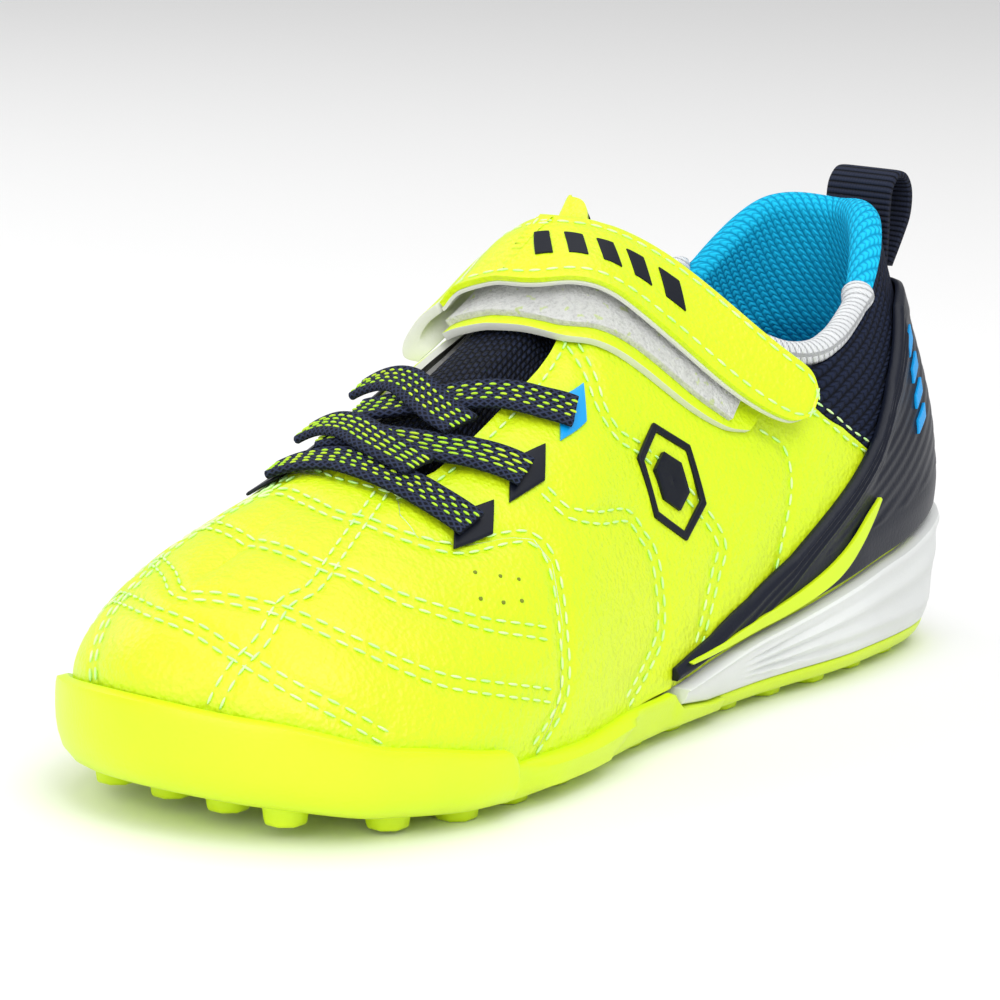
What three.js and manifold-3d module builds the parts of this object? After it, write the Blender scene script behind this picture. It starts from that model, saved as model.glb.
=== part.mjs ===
// Child's turf shoe, left foot. Units mm, +X toward the toe, +Y toward the lateral side, +Z up.
import * as THREE from 'three';
import { mergeVertices } from 'three/addons/utils/BufferGeometryUtils.js';
import Module from 'manifold-3d';

const wasm = await Module();
wasm.setup();

// ---- driving dimensions -------------------------------------------------------------------
const SHOE_LENGTH = 205;     // outsole, toe bumper to heel
const BALL_WIDTH = 78;       // outsole at the ball
const COLLAR_HEIGHT = 83;    // top of the heel collar above the ground
const STUD_HEIGHT = 3.5;     // ground to the underside of the rubber plate
const PLATE = 3.5;           // heel rubber plate
const LEATHER = 1.2;         // lime upper panels
const BACKING = 1.0;         // foam backing, toe puff and heel counter
const LINING = 0.8;          // textile lining
const COLLAR_PAD = 2.2;      // extra padding behind the collar knit
const OVERLAY = 1.5;         // moulded heel overlay
const STRAP = 1.5;           // strap leather
const TAPE = 0.8;            // hook tape and loop tape
const LACE_WIDTH = 6.5;      // flat elastic lace
const LACE = 1.3;            // lace thickness
const ROLL = 2.1;            // radius of the knit roll on the topline
const TONGUE_FOAM = 3.0;     // tongue padding
const WEBBING = 1.6;         // pull loop webbing
const LOOP_WIDTH = 14;       // pull loop width
const GAP = 0.3;             // clearance between neighbouring pieces

const SX = SHOE_LENGTH / 205;
const SY = BALL_WIDTH / 78;
const SZ = COLLAR_HEIGHT / 83;

// ---- foot form: sixteen sections, heel 0, lateral 1..7, toe 8, medial 9..15 ----------------
// Each section is one cubic curve from the feather line (f) to the rim or the ridge (r),
// with a lower handle (o out, u up) and an upper handle h.
const SECTIONS = [
  { f: [-100, 5], r: [-94, 3, 83], o: 3, u: 20, h: [-3, 0, -24] },
  { f: [-90, 25], r: [-86, 15, 82], o: 3, u: 20, h: [-2, 4, -24] },
  { f: [-60, 31], r: [-66, 25, 66], o: 1, u: 18, h: [-1, 4, -18] },
  { f: [-28, 30], r: [-46, 23, 62], o: 0, u: 20, h: [0, 5, -16] },
  { f: [4, 32], r: [-20, -5, 80], o: 1, u: 22, h: [0, 16, -3] },
  { f: [36, 37], r: [0, -5, 69], o: 3, u: 18, h: [0, 20, -2] },
  { f: [62, 37], r: [32, -4, 54], o: 4, u: 14, h: [1, 20, -1.5] },
  { f: [85, 26], r: [58, -3, 45], o: 5, u: 12, h: [6, 16, -2] },
  { f: [96, 0], r: [75, -2, 38.5], o: 5, u: 11, h: [13, 0, -4] },
  { f: [88, -21], r: [58, -3, 45], o: 5, u: 12, h: [7, -14, -2] },
  { f: [66, -31], r: [32, -4, 54], o: 4, u: 14, h: [1, -16, -1.5] },
  { f: [38, -34], r: [0, -5, 69], o: 2, u: 18, h: [0, -15, -2] },
  { f: [8, -30], r: [-20, -5, 80], o: 0, u: 22, h: [0, -13, -3] },
  { f: [-26, -25], r: [-46, -20, 62], o: 0, u: 20, h: [0, -5, -16] },
  { f: [-60, -22], r: [-66, -20, 66], o: 1, u: 18, h: [-1, -4, -18] },
  { f: [-90, -15], r: [-86, -12, 82], o: 3, u: 20, h: [-2, -3, -24] },
];
const TURNS = SECTIONS.length;
const RIDGE_START = 4;
const RIDGE_END = 12;

function hermite(a, b, c, d, f) {
  const low = 2 * b + (c - a) * f;
  const high = (2 * a - 5 * b + 4 * c - d) * f * f + (3 * b - a - 3 * c + d) * f * f * f;
  return 0.5 * (low + high);
}

function around(pick, u) {
  const turn = ((u % TURNS) + TURNS) % TURNS;
  const i = Math.floor(turn);
  const at = (k) => pick(SECTIONS[(i + k + TURNS) % TURNS]);
  return hermite(at(-1), at(0), at(1), at(2), turn - i);
}

function along(points, s) {
  const last = points.length - 1;
  const p = Math.min(Math.max(s, 0), 1) * last;
  const i = Math.min(Math.floor(p), last - 1);
  const at = (k) => points[Math.min(Math.max(i + k, 0), last)];
  return points[0].map((_, c) => hermite(at(-1)[c], at(0)[c], at(1)[c], at(2)[c], p - i));
}

function profile(points, x) {
  const q = x / SX;
  if (q <= points[0][0]) return points[0][1];
  for (let i = 1; i < points.length; i += 1) {
    const [x0, z0] = points[i - 1];
    const [x1, z1] = points[i];
    if (q <= x1) return THREE.MathUtils.lerp(z0, z1, THREE.MathUtils.smoothstep(q, x0, x1) * 0.35
      + 0.65 * (q - x0) / (x1 - x0));
  }
  return points[points.length - 1][1];
}

// height of the feather line, and the underside of the rubber plate, over the length
const FEATHER = [[-100, 27], [-70, 21], [-30, 14], [0, 9.5], [30, 7.6], [55, 8.4], [75, 12],
  [90, 17], [100, 20]];
const PLATE_UNDER = [[40, 0], [60, 0.4], [77, 1.8], [90, 4], [102, 6.5]];
const featherHeight = (x) => profile(FEATHER, x);
const underHeight = (x) => STUD_HEIGHT + profile(PLATE_UNDER, x);

function feather(u) {
  const x = around((s) => s.f[0], u) * SX;
  return new THREE.Vector3(x, around((s) => s.f[1], u) * SY, featherHeight(x));
}

function outward(u) {
  const step = feather(u + 0.01).sub(feather(u - 0.01));
  return new THREE.Vector3(-step.y, step.x, 0).normalize();
}

function outline(u, out, z) {
  const p = feather(u).addScaledVector(outward(u), out);
  return new THREE.Vector3(p.x, p.y, z === undefined ? p.z : z);
}

function form(u, t) {
  const low = feather(u);
  const part = (list, i) => around((s) => s[list][i], u);
  const top = new THREE.Vector3(part('r', 0) * SX, part('r', 1) * SY, part('r', 2) * SZ);
  const handle = new THREE.Vector3(part('h', 0) * SX, part('h', 1) * SY, part('h', 2) * SZ);
  const bulge = low.clone().addScaledVector(outward(u), around((s) => s.o, u));
  bulge.z += around((s) => s.u, u) * SZ;
  return new THREE.CubicBezierCurve3(low, bulge, top.clone().add(handle), top).getPoint(t);
}

function sideNormal(u, t) {
  const q = Math.min(Math.max(t, 0.002), 0.985);
  const du = form(u + 0.01, q).sub(form(u - 0.01, q));
  const dt = form(u, q + 0.002).sub(form(u, q - 0.002));
  return dt.cross(du).normalize();
}

const onRidge = (u, t) => t >= 1 && u >= RIDGE_START && u <= RIDGE_END;

// point of the form moved h outward along its normal
function skin(u, t, h) {
  if (!onRidge(u, t)) return form(u, t).addScaledVector(sideNormal(u, t), h);
  const lateral = Math.min(u, TURNS - u);
  const normal = sideNormal(lateral, 1).add(sideNormal(TURNS - lateral, 1)).normalize();
  return form(lateral, 1).addScaledVector(normal, h);
}

// coordinates that run straight over the ridge: r along it, a across it (lateral positive)
const across = (r, a) => (a >= 0 ? [r, 1 - a] : [TURNS - r, 1 + a]);

// ---- mesh helpers --------------------------------------------------------------------------
function solid(triangles) {
  const kept = triangles.filter(([a, b, c]) => a.distanceTo(b) > 1e-6
    && b.distanceTo(c) > 1e-6 && a.distanceTo(c) > 1e-6);
  let volume = 0;
  kept.forEach(([a, b, c]) => {
    volume += a.dot(b.clone().cross(c)) / 6;
  });
  const flat = [];
  kept.forEach(([a, b, c]) => {
    const order = volume < 0 ? [a, c, b] : [a, b, c];
    order.forEach((p) => flat.push(p.x, p.y, p.z));
  });
  const geometry = new THREE.BufferGeometry();
  geometry.setAttribute('position', new THREE.Float32BufferAttribute(flat, 3));
  return geometry;
}

function quad(list, a, b, c, d) {
  list.push([a, b, c], [a, c, d]);
}

// closed body from two matching nets of points; skip(i, j) leaves a border cell open for welding
function between(high, low, open = () => false) {
  const list = [];
  const rows = high.length - 1;
  const cols = high[0].length - 1;
  for (let i = 0; i < rows; i += 1) {
    for (let j = 0; j < cols; j += 1) {
      quad(list, high[i][j], high[i + 1][j], high[i + 1][j + 1], high[i][j + 1]);
      quad(list, low[i][j], low[i][j + 1], low[i + 1][j + 1], low[i + 1][j]);
    }
  }
  const wall = (i0, j0, i1, j1) => {
    if (open(i0, j0) && open(i1, j1)) return;
    quad(list, high[i1][j1], high[i0][j0], low[i0][j0], low[i1][j1]);
  };
  for (let i = 0; i < rows; i += 1) {
    wall(i, 0, i + 1, 0);
    wall(i + 1, cols, i, cols);
  }
  for (let j = 0; j < cols; j += 1) {
    wall(0, j + 1, 0, j);
    wall(rows, j, rows, j + 1);
  }
  return solid(list);
}

// sheet of material on the form between two heights; the net holds form coordinates
function sheet(net, low, high) {
  const height = (h, u, t) => (typeof h === 'function' ? h(u, t) : h);
  const raise = (h) => net.map((row) => row.map(([u, t]) => skin(u, t, height(h, u, t))));
  return between(raise(high), raise(low), (i, j) => onRidge(net[i][j][0], net[i][j][1]));
}

// net between two edge curves given in form coordinates
function span(lower, upper, rows, cols) {
  return Array.from({ length: rows + 1 }, (_, i) => {
    const a = along(lower, i / rows);
    const b = along(upper, i / rows);
    return Array.from({ length: cols + 1 }, (__, j) => [
      THREE.MathUtils.lerp(a[0], b[0], j / cols),
      Math.min(THREE.MathUtils.lerp(a[1], b[1], j / cols), 1),
    ]);
  });
}

// straight-line lookup in a table of [position, value] points
function level(points, q) {
  if (q <= points[0][0]) return points[0][1];
  for (let i = 1; i < points.length; i += 1) {
    const [q0, v0] = points[i - 1];
    const [q1, v1] = points[i];
    if (q <= q1) return v0 + ((v1 - v0) * (q - q0)) / (q1 - q0);
  }
  return points[points.length - 1][1];
}

// every layer of the upper uses the same grid lines, so neighbouring layers never touch
const GRID_U = 0.25;
const GRID_T = [0, 0.12, 0.24, 0.36, 0.43, 0.55, 0.66, 0.77, 0.87, 0.94, 1];

function gridNet(u0, u1, low, high) {
  const us = [u0];
  for (let u = Math.ceil((u0 + 0.06) / GRID_U) * GRID_U; u < u1 - 0.05; u += GRID_U) us.push(u);
  us.push(u1);
  return us.map((u) => {
    const from = typeof low === 'function' ? low(u) : low;
    const to = typeof high === 'function' ? high(u) : high;
    return GRID_T.map((t) => [u, Math.min(Math.max(t, from), to)]);
  });
}

function sheetOver(lower, upper, rows, cols, low, high) {
  const lift = (h) => Array.from({ length: rows + 1 }, (_, i) => {
    const a = along(lower, i / rows);
    const b = along(upper, i / rows);
    return Array.from({ length: cols + 1 }, (__, j) => {
      const r = THREE.MathUtils.lerp(a[0], b[0], j / cols);
      const q = THREE.MathUtils.lerp(a[1], b[1], j / cols);
      const [u, t] = across(r, q);
      return skin(u, t, typeof h === 'function' ? h(r, q) : h);
    });
  });
  return between(lift(high), lift(low));
}

// closed body swept through a list of matching section loops
function loft(loops) {
  const list = [];
  const n = loops[0].length;
  for (let i = 0; i + 1 < loops.length; i += 1) {
    for (let j = 0; j < n; j += 1) {
      const k = (j + 1) % n;
      quad(list, loops[i][j], loops[i + 1][j], loops[i + 1][k], loops[i][k]);
    }
  }
  const cap = (loop, flip) => {
    for (let j = 1; j + 1 < n; j += 1) {
      list.push(flip ? [loop[0], loop[j], loop[j + 1]] : [loop[0], loop[j + 1], loop[j]]);
    }
  };
  cap(loops[0], true);
  cap(loops[loops.length - 1], false);
  return solid(list);
}

// flat ribbon over the form; the path holds [r, a, lift] points
function ribbon(path, width, thick, rows) {
  const spots = Array.from({ length: rows + 1 }, (_, i) => {
    const [r, a, lift] = along(path, i / rows);
    const [u, t] = across(r, a);
    const normal = skin(u, t, 1).sub(skin(u, t, 0)).normalize();
    return { p: skin(u, t, lift), normal };
  });
  return loft(spots.map(({ p, normal }, i) => {
    const next = spots[Math.min(i + 1, rows)].p;
    const last = spots[Math.max(i - 1, 0)].p;
    const side = normal.clone().cross(next.clone().sub(last)).normalize().multiplyScalar(width / 2);
    const rise = normal.clone().multiplyScalar(thick);
    const a = p.clone().add(side);
    const b = p.clone().sub(side);
    return [a, b, b.clone().add(rise), a.clone().add(rise)];
  }));
}

// slab of sole through a list of sections, between two outlines and two heights
function slab(rows, cols, outLow, outHigh, zLow, zHigh) {
  const net = (out, z) => rows.map((u) => {
    const left = outline(u, out, 0);
    const right = outline(TURNS - u, out, 0);
    return Array.from({ length: cols + 1 }, (_, j) => {
      const p = left.clone().lerp(right, j / cols);
      p.z = z(p.x, u);
      return p;
    });
  });
  return between(net(outHigh, zHigh), net(outLow, zLow));
}

function toManifold(geometry) {
  const used = geometry.clone();
  used.deleteAttribute('normal');
  used.deleteAttribute('uv');
  const merged = mergeVertices(used, 1e-5);
  const keep = [];
  const index = merged.index.array;
  for (let i = 0; i < index.length; i += 3) {
    const [a, b, c] = [index[i], index[i + 1], index[i + 2]];
    if (a !== b && b !== c && a !== c) keep.push(a, b, c);
  }
  return new wasm.Manifold(new wasm.Mesh({
    numProp: 3,
    vertProperties: new Float32Array(merged.attributes.position.array),
    triVerts: new Uint32Array(keep),
  }));
}

function fromManifold(body) {
  const mesh = body.getMesh();
  const geometry = new THREE.BufferGeometry();
  geometry.setAttribute('position', new THREE.BufferAttribute(new Float32Array(mesh.vertProperties), 3));
  geometry.setIndex(new THREE.BufferAttribute(new Uint32Array(mesh.triVerts), 1));
  return geometry.toNonIndexed();
}

function joined(geometries) {
  return fromManifold(geometries.map(toManifold).reduce((a, b) => a.add(b)));
}

const group = new THREE.Group();
group.name = 'turf_shoe';

function add(name, geometry, color, roughness = 0.6, metalness = 0) {
  geometry.computeVertexNormals();
  const mesh = new THREE.Mesh(geometry, new THREE.MeshStandardMaterial({ color, roughness, metalness }));
  mesh.name = name;
  group.add(mesh);
}

const LIME = 0xd6f31a;
const NAVY = 0x141928;
const WHITE = 0xdfe2df;
const BLUE = 0x007fb2;
const GREY = 0xa9adb0;
const SIDES = ['lateral', 'medial'];
const mirror = (side, points) => (side === 'lateral' ? points : points.map(([u, t]) => [TURNS - u, t]));

// ---- shared edges over the sections (the medial side mirrors the lateral one) ----------------
const lateralOf = (u) => {
  const turn = ((u % TURNS) + TURNS) % TURNS;
  return Math.min(turn, TURNS - turn);
};
const LIME_EDGE = [[1.4, 0.2], [1.9, 0.42], [2.4, 0.65], [2.85, 0.8], [3.3, 0.865], [3.6, 0.885],
  [4.1, 0.86], [4.6, 0.82], [5.1, 0.79], [6.2, 0.78], [6.3, 0.83], [6.45, 1]];
const RIM_EDGE = [[2.5, 0.958], [3.0, 0.935], [3.5, 0.92]];
const OVERLAY_EDGE = [[0, 0.72], [0.7, 0.75], [1.31, 0.78], [1.72, 0.66], [1.98, 0.51], [2.23, 0.41],
  [2.47, 0.32], [2.75, 0.21], [3.11, 0.125], [3.47, 0.075], [3.84, 0.05]];
const SEAM_U = 5.5;           // vamp to quarter
const LINING_SPLIT = 5.0;     // vamp lining to quarter lining
const COLLAR_SPLIT = 3.5;     // quarter lining to collar lining
const TOE_PUFF_EDGE = 7;
const SEAM = 0.013;           // seam gap in section units
const HEIGHT_SEAM = 0.022;    // seam gap along a section
const FOOT_EDGE = 0.03;       // inner layers stop just above the feather line

const limeEdge = (u) => level(LIME_EDGE, lateralOf(u));
const rimEdge = (u) => level(RIM_EDGE, lateralOf(u));
const innerEdge = (u) => (lateralOf(u) >= 6.44 ? 1 : limeEdge(u) - HEIGHT_SEAM);
const under = (layers) => -layers.reduce((a, b) => a + b, 0);
const backTop = under([LEATHER, GAP]);
const backLow = under([LEATHER, GAP, BACKING]);
const liningTop = under([LEATHER, GAP, BACKING, GAP]);
const liningLow = under([LEATHER, GAP, BACKING, GAP, LINING]);

// one panel for each side from lateral section limits
function pair(name, u0, u1, low, high, inner, outer, color, roughness) {
  SIDES.forEach((side) => {
    const net = side === 'lateral' ? gridNet(u0, u1, low, high) : gridNet(TURNS - u1, TURNS - u0, low, high);
    add(`${name}_${side}`, sheet(net, inner, outer), color, roughness);
  });
}

// ---- upper -----------------------------------------------------------------------------------
function buildLeather() {
  add('vamp', sheet(gridNet(SEAM_U, TURNS - SEAM_U, 0, limeEdge), -LEATHER, 0), LIME, 0.38);
  pair('quarter', 1.4, SEAM_U - SEAM, 0, limeEdge, -LEATHER, 0, LIME, 0.38);
}

function buildCollar() {
  const meshLow = (u) => (lateralOf(u) < 1.4 ? 0.12 : limeEdge(u) + HEIGHT_SEAM);
  add('collar_mesh', sheet(gridNet(-3.5, 3.5, meshLow, rimEdge), -LEATHER, 0), NAVY, 0.85);

  const pad = (u, t) => COLLAR_PAD * THREE.MathUtils.smoothstep(t, 0.42, 0.6);
  const end = COLLAR_SPLIT - SEAM;
  const padEdge = (u) => rimEdge(u) - HEIGHT_SEAM;
  const layer = (low, high) => gridNet(-end, end, low, high);
  add('heel_counter', sheet(layer(FOOT_EDGE, 0.42), backLow, backTop), 0xe8e4d8, 0.7);
  add('collar_foam', sheet(layer(0.445, padEdge), (u, t) => backLow - pad(u, t), backTop), 0xf0e6a8, 0.9);
  add('collar_lining', sheet(
    layer(FOOT_EDGE, padEdge),
    (u, t) => liningLow - pad(u, t),
    (u, t) => liningTop - pad(u, t),
  ), BLUE, 0.9);
}

function buildLinings() {
  const split = LINING_SPLIT + SEAM;
  const toe = gridNet(split, TURNS - split, FOOT_EDGE, innerEdge);
  add('vamp_lining', sheet(toe, liningLow, liningTop), GREY, 0.9);
  const puff = gridNet(TOE_PUFF_EDGE, TURNS - TOE_PUFF_EDGE, FOOT_EDGE, 1);
  add('toe_puff', sheet(puff, backLow, backTop), 0xd8d2c4, 0.7);

  const backEdge = (u) => Math.min(innerEdge(u), 0.982);
  pair('vamp_backing', split, TOE_PUFF_EDGE - SEAM, FOOT_EDGE, backEdge, backLow, backTop, 0xf2efe6, 0.9);
  const quarter = [COLLAR_SPLIT + SEAM, LINING_SPLIT - SEAM, FOOT_EDGE, innerEdge];
  pair('quarter_backing', ...quarter, backLow, backTop, 0xf2efe6, 0.9);
  pair('quarter_lining', ...quarter, liningLow, liningTop, GREY, 0.9);
}

function buildHeelOverlay() {
  const edge = (u) => level(OVERLAY_EDGE, lateralOf(u));
  const net = gridNet(-3.84, 3.84, 0.02, edge);
  add('heel_overlay', sheet(net, GAP, GAP + OVERLAY), NAVY, 0.35);

  const accentLow = [[3.3, 0.03], [2.8, 0.03], [2.45, 0.04], [2.25, 0.065], [2.12, 0.12],
    [2.02, 0.19], [1.95, 0.25]];
  const accentHigh = [[3.3, 0.04], [2.8, 0.065], [2.5, 0.095], [2.32, 0.125], [2.2, 0.165],
    [2.08, 0.225], [1.98, 0.27]];
  const lift = [OVERLAY + 2 * GAP + 0.1, OVERLAY + 2 * GAP + 0.7];
  SIDES.forEach((side) => {
    const strip = span(mirror(side, accentLow), mirror(side, accentHigh), 10, 1);
    add(`heel_accent_${side}`, sheet(strip, ...lift), LIME, 0.35);
  });
  const bar = span([[-0.13, 0.42], [0.13, 0.42]], [[-0.07, 0.66], [0.07, 0.66]], 2, 3);
  add('heel_accent_rear', sheet(bar, ...lift), LIME, 0.35);
}

function tube(u0, u1, rows, sides) {
  const spots = Array.from({ length: rows + 1 }, (_, i) => {
    const u = THREE.MathUtils.lerp(u0, u1, i / rows);
    return { p: skin(u, 0.999, -2.6), normal: sideNormal(u, 0.98) };
  });
  return loft(spots.map(({ p, normal }, i) => {
    const next = spots[Math.min(i + 1, rows)].p;
    const last = spots[Math.max(i - 1, 0)].p;
    const up = next.clone().sub(last).cross(normal).normalize();
    return Array.from({ length: sides }, (__, k) => {
      const turn = (2 * Math.PI * k) / sides;
      return p.clone().addScaledVector(normal, ROLL * Math.cos(turn))
        .addScaledVector(up, ROLL * Math.sin(turn));
    });
  }));
}

function buildTopline() {
  add('topline_roll_lateral', tube(3.42, 1.37, 10, 8), 0xc8cccf, 0.95);
  add('topline_roll_medial', tube(TURNS - 3.42, TURNS - 1.37, 10, 8), 0xc8cccf, 0.95);
  add('collar_lip', tube(1.33, -1.33, 10, 8), BLUE, 0.9);
}

// ---- tongue ------------------------------------------------------------------------------------
const TONGUE_BASE = 6.6;
const TONGUE_TOP = 3.85;
const TONGUE_FREE = 4.5;      // above this the tongue runs straight on
const TONGUE_TAPER = 0.07;    // how much the free end narrows for each step up

// the tongue follows the form lower down, arches under the strap and runs straight on at its free end
function tonguePoint(r, v, depth) {
  const q = Math.max(r, TONGUE_FREE);
  const near = THREE.MathUtils.smoothstep(-q, -5, -4.65);
  const width = 0.27 - (v < 0 ? 0.15 : 0.06) * near;
  const tuck = Math.max(
    THREE.MathUtils.smoothstep(Math.abs(v), 0.3, 0.64),
    THREE.MathUtils.smoothstep(r, 6.0, 6.25),
  );
  const at = (side, h) => skin(...across(q, side * width), h);
  const crown = at(0, -3.3);
  const left = at(1, -6);
  const right = at(-1, -6);
  const middle = left.clone().add(right).multiplyScalar(0.5);
  const fall = middle.clone().sub(crown);
  const arch = crown.addScaledVector(left.sub(right), v / 2).addScaledVector(fall, v * v);
  const ridge = at(0, 1).sub(at(0, 0));
  const inward = at(v, 1).sub(at(v, 0)).lerp(ridge, 0.6 * near).normalize();
  const base = at(v, -1 - 3.2 * tuck).lerp(arch, near).addScaledVector(inward, -depth);
  const rise = form(TONGUE_FREE, 1)
    .sub(form(TONGUE_FREE + 0.2, 1))
    .addScaledVector(base.clone().sub(middle), -TONGUE_TAPER);
  return base.addScaledVector(rise, (q - r) / 0.2);
}

function tongueSheet(r0, r1, rows, top, low, reach = 1) {
  const net = (depth) => Array.from({ length: rows + 1 }, (_, i) => Array.from({ length: 9 }, (__, j) => {
    const v = (j / 4 - 1) * reach;
    const r = THREE.MathUtils.lerp(r0, r1, i / rows);
    return tonguePoint(r, v, typeof depth === 'function' ? depth(v) : depth);
  }));
  return between(net(top), net(low));
}

function buildTongue() {
  const soft = (v) => TONGUE_FOAM * (1 - 0.5 * v * v);
  const skinEnd = 1 + GAP;
  add('tongue_mesh', tongueSheet(TONGUE_BASE, TONGUE_TOP, 12, 0, 1), NAVY, 0.9);
  const foamEnd = (v) => skinEnd + soft(v);
  add('tongue_foam', tongueSheet(TONGUE_BASE, TONGUE_TOP, 12, skinEnd, foamEnd), 0xf0e6a8, 0.9);
  add('tongue_lining', tongueSheet(
    TONGUE_BASE,
    TONGUE_TOP,
    12,
    (v) => foamEnd(v) + GAP,
    (v) => foamEnd(v) + GAP + LINING,
  ), GREY, 0.9);
  add('tongue_tip', tongueSheet(4.1, TONGUE_TOP, 2, -GAP - 1.2, -GAP, 0.85), LIME, 0.4);
}

// ---- laces -------------------------------------------------------------------------------------
function buildLaces() {
  const low = GAP + 0.5 + GAP;
  const high = low + LACE + GAP;
  const patch = (name, r, a, color) => {
    const edge = (q) => [[r - 0.16, q], [r + 0.16, q]];
    add(name, sheetOver(edge(a - 0.055), edge(a + 0.055), 3, 2, GAP, GAP + 0.5), color, 0.5);
  };
  patch('eyelet_top_lateral', 4.93, 0.355, 0x00a5f5);
  patch('eyelet_middle_lateral', 5.43, 0.385, NAVY);
  patch('eyelet_front_lateral', 5.9, 0.405, NAVY);
  patch('eyelet_top_medial', 5.45, -0.28, NAVY);
  patch('eyelet_middle_medial', 5.84, -0.3, NAVY);
  patch('eyelet_front_medial', 6.28, -0.26, NAVY);

  const lace = (name, path) => add(name, ribbon(path, LACE_WIDTH, LACE, 10), NAVY, 0.85);
  lace('lace_top_bar', [[4.95, 0.36, low], [5.2, 0.29, low], [5.45, 0.19, low], [5.68, 0.09, low],
    [5.82, 0, low], [5.84, -0.1, low], [5.77, -0.18, low]]);
  lace('lace_middle_bar', [[5.45, 0.39, low], [5.72, 0.28, low], [5.95, 0.18, low], [6.1, 0.08, low],
    [6.15, 0, low], [6.12, -0.1, low], [6.06, -0.18, low]]);
  lace('lace_front_bar', [[5.92, 0.41, low], [6.15, 0.29, low], [6.34, 0.15, low], [6.42, 0.02, low],
    [6.4, -0.12, low], [6.3, -0.25, low]]);
  lace('lace_top_cross', [[5.48, -0.26, high], [5.6, -0.15, high], [5.74, 0, high], [5.8, 0.12, high],
    [5.76, 0.2, high]]);
  lace('lace_middle_cross', [[5.86, -0.28, high], [5.97, -0.19, high], [6.12, -0.08, high],
    [6.22, 0.03, high], [6.22, 0.13, high], [6.14, 0.22, high]]);
}

// ---- strap -------------------------------------------------------------------------------------
const STRAP_LOW = [[3.0, 0.28], [3.14, 0.335], [3.44, 0.36], [3.75, 0.345], [4.1, 0.3], [4.5, 0.2],
  [4.85, 0.08], [4.95, -0.05], [4.95, -0.175]];
const STRAP_HIGH = [[2.95, 0.2], [3.02, 0.11], [3.3, 0.07], [3.6, 0.07], [3.9, 0.085], [4.14, 0.07],
  [4.24, 0], [4.22, -0.09], [4.16, -0.175]];
const BASE_LOW = [[3.3, 0.4], [3.45, 0.43], [3.7, 0.43], [4.07, 0.385], [4.46, 0.31], [4.85, 0.2],
  [5.1, 0.06], [5.16, -0.06], [5.1, -0.165]];
const BASE_HIGH = [[3.24, 0.34], [3.28, 0.22], [3.5, 0.13], [3.75, 0.1], [4.0, 0.1], [4.2, 0.07],
  [4.28, 0], [4.26, -0.09], [4.2, -0.165]];
const inset = (a, b, k) => a.map((p, i) => p.map((c, n) => c + (b[i][n] - c) * k));
const baseLift = GAP;
const loopLift = baseLift + STRAP + GAP;
const hookLift = loopLift + TAPE + GAP;
const flapLift = hookLift + TAPE + GAP;

function buildStrap() {
  const tape = (a, b, from, to) => [inset(a, b, 0.14).slice(from, to), inset(b, a, 0.14).slice(from, to)];
  add('strap_base', sheetOver(BASE_LOW, BASE_HIGH, 16, 3, baseLift, baseLift + STRAP), LIME, 0.45);
  const [loopLow, loopHigh] = tape(BASE_LOW, BASE_HIGH, 1, 9);
  add('loop_tape', sheetOver(loopLow, loopHigh, 14, 3, loopLift, loopLift + TAPE), WHITE, 0.95);
  const [hookLow, hookHigh] = tape(STRAP_LOW, STRAP_HIGH, 1, 5);
  add('hook_tape', sheetOver(hookLow, hookHigh, 8, 3, hookLift, hookLift + TAPE), WHITE, 0.95);
  add('strap_flap', sheetOver(STRAP_LOW, STRAP_HIGH, 16, 3, flapLift, flapLift + STRAP), LIME, 0.4);

  const outer = [[-0.187, flapLift + STRAP], [-0.235, flapLift + STRAP - 0.1], [-0.28, flapLift - 0.2],
    [-0.3, 2.4], [-0.29, GAP]];
  const inner = [[-0.187, flapLift], [-0.222, flapLift - 0.1], [-0.25, flapLift - 1], [-0.262, 2.4],
    [-0.255, GAP]];
  const net = (curve) => Array.from({ length: 9 }, (_, i) => {
    const [a, h] = along(curve, i / 8);
    return [4.95, 4.69, 4.42, 4.16].map((r) => {
      const [u, t] = across(r, a);
      return skin(u, t, h);
    });
  });
  add('strap_fold', between(net(outer), net(inner)), LIME, 0.4);
}

// ---- pull loop ---------------------------------------------------------------------------------
function buildPullLoop() {
  const path = [[-98.3, 69.5], [-98.3, 74], [-98.4, 79], [-99, 82.8], [-101.2, 85], [-103.9, 84.6],
    [-105.7, 81.8], [-105.5, 77.5], [-103.4, 73.6], [-100.8, 70]];
  const rows = 18;
  const spot = (i) => along(path, i / rows);
  const loops = Array.from({ length: rows + 1 }, (_, i) => {
    const [x, z] = spot(i);
    const [x1, z1] = spot(Math.min(i + 1, rows));
    const [x0, z0] = spot(Math.max(i - 1, 0));
    const length = Math.hypot(x1 - x0, z1 - z0);
    const nx = (-(z1 - z0) / length) * (WEBBING / 2);
    const nz = ((x1 - x0) / length) * (WEBBING / 2);
    const y0 = 3 * SY - LOOP_WIDTH / 2;
    const y1 = 3 * SY + LOOP_WIDTH / 2;
    const at = (y, k) => new THREE.Vector3(x * SX + nx * k, y, z * SZ + nz * k);
    return [at(y0, -1), at(y1, -1), at(y1, 1), at(y0, 1)];
  });
  add('pull_loop', loft(loops), NAVY, 0.85);
}

// ---- soles -------------------------------------------------------------------------------------
const TIP_U = 3.8;            // front tip of the midsole wedge
const NOTCH_U = 3.34;         // gap between the two rubber outsoles
const STUD_RADIUS = 3.3;

const wedgeUnder = (x) => STUD_HEIGHT + PLATE + GAP + Math.max(0, x / SX + 12) * 0.1;

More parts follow.
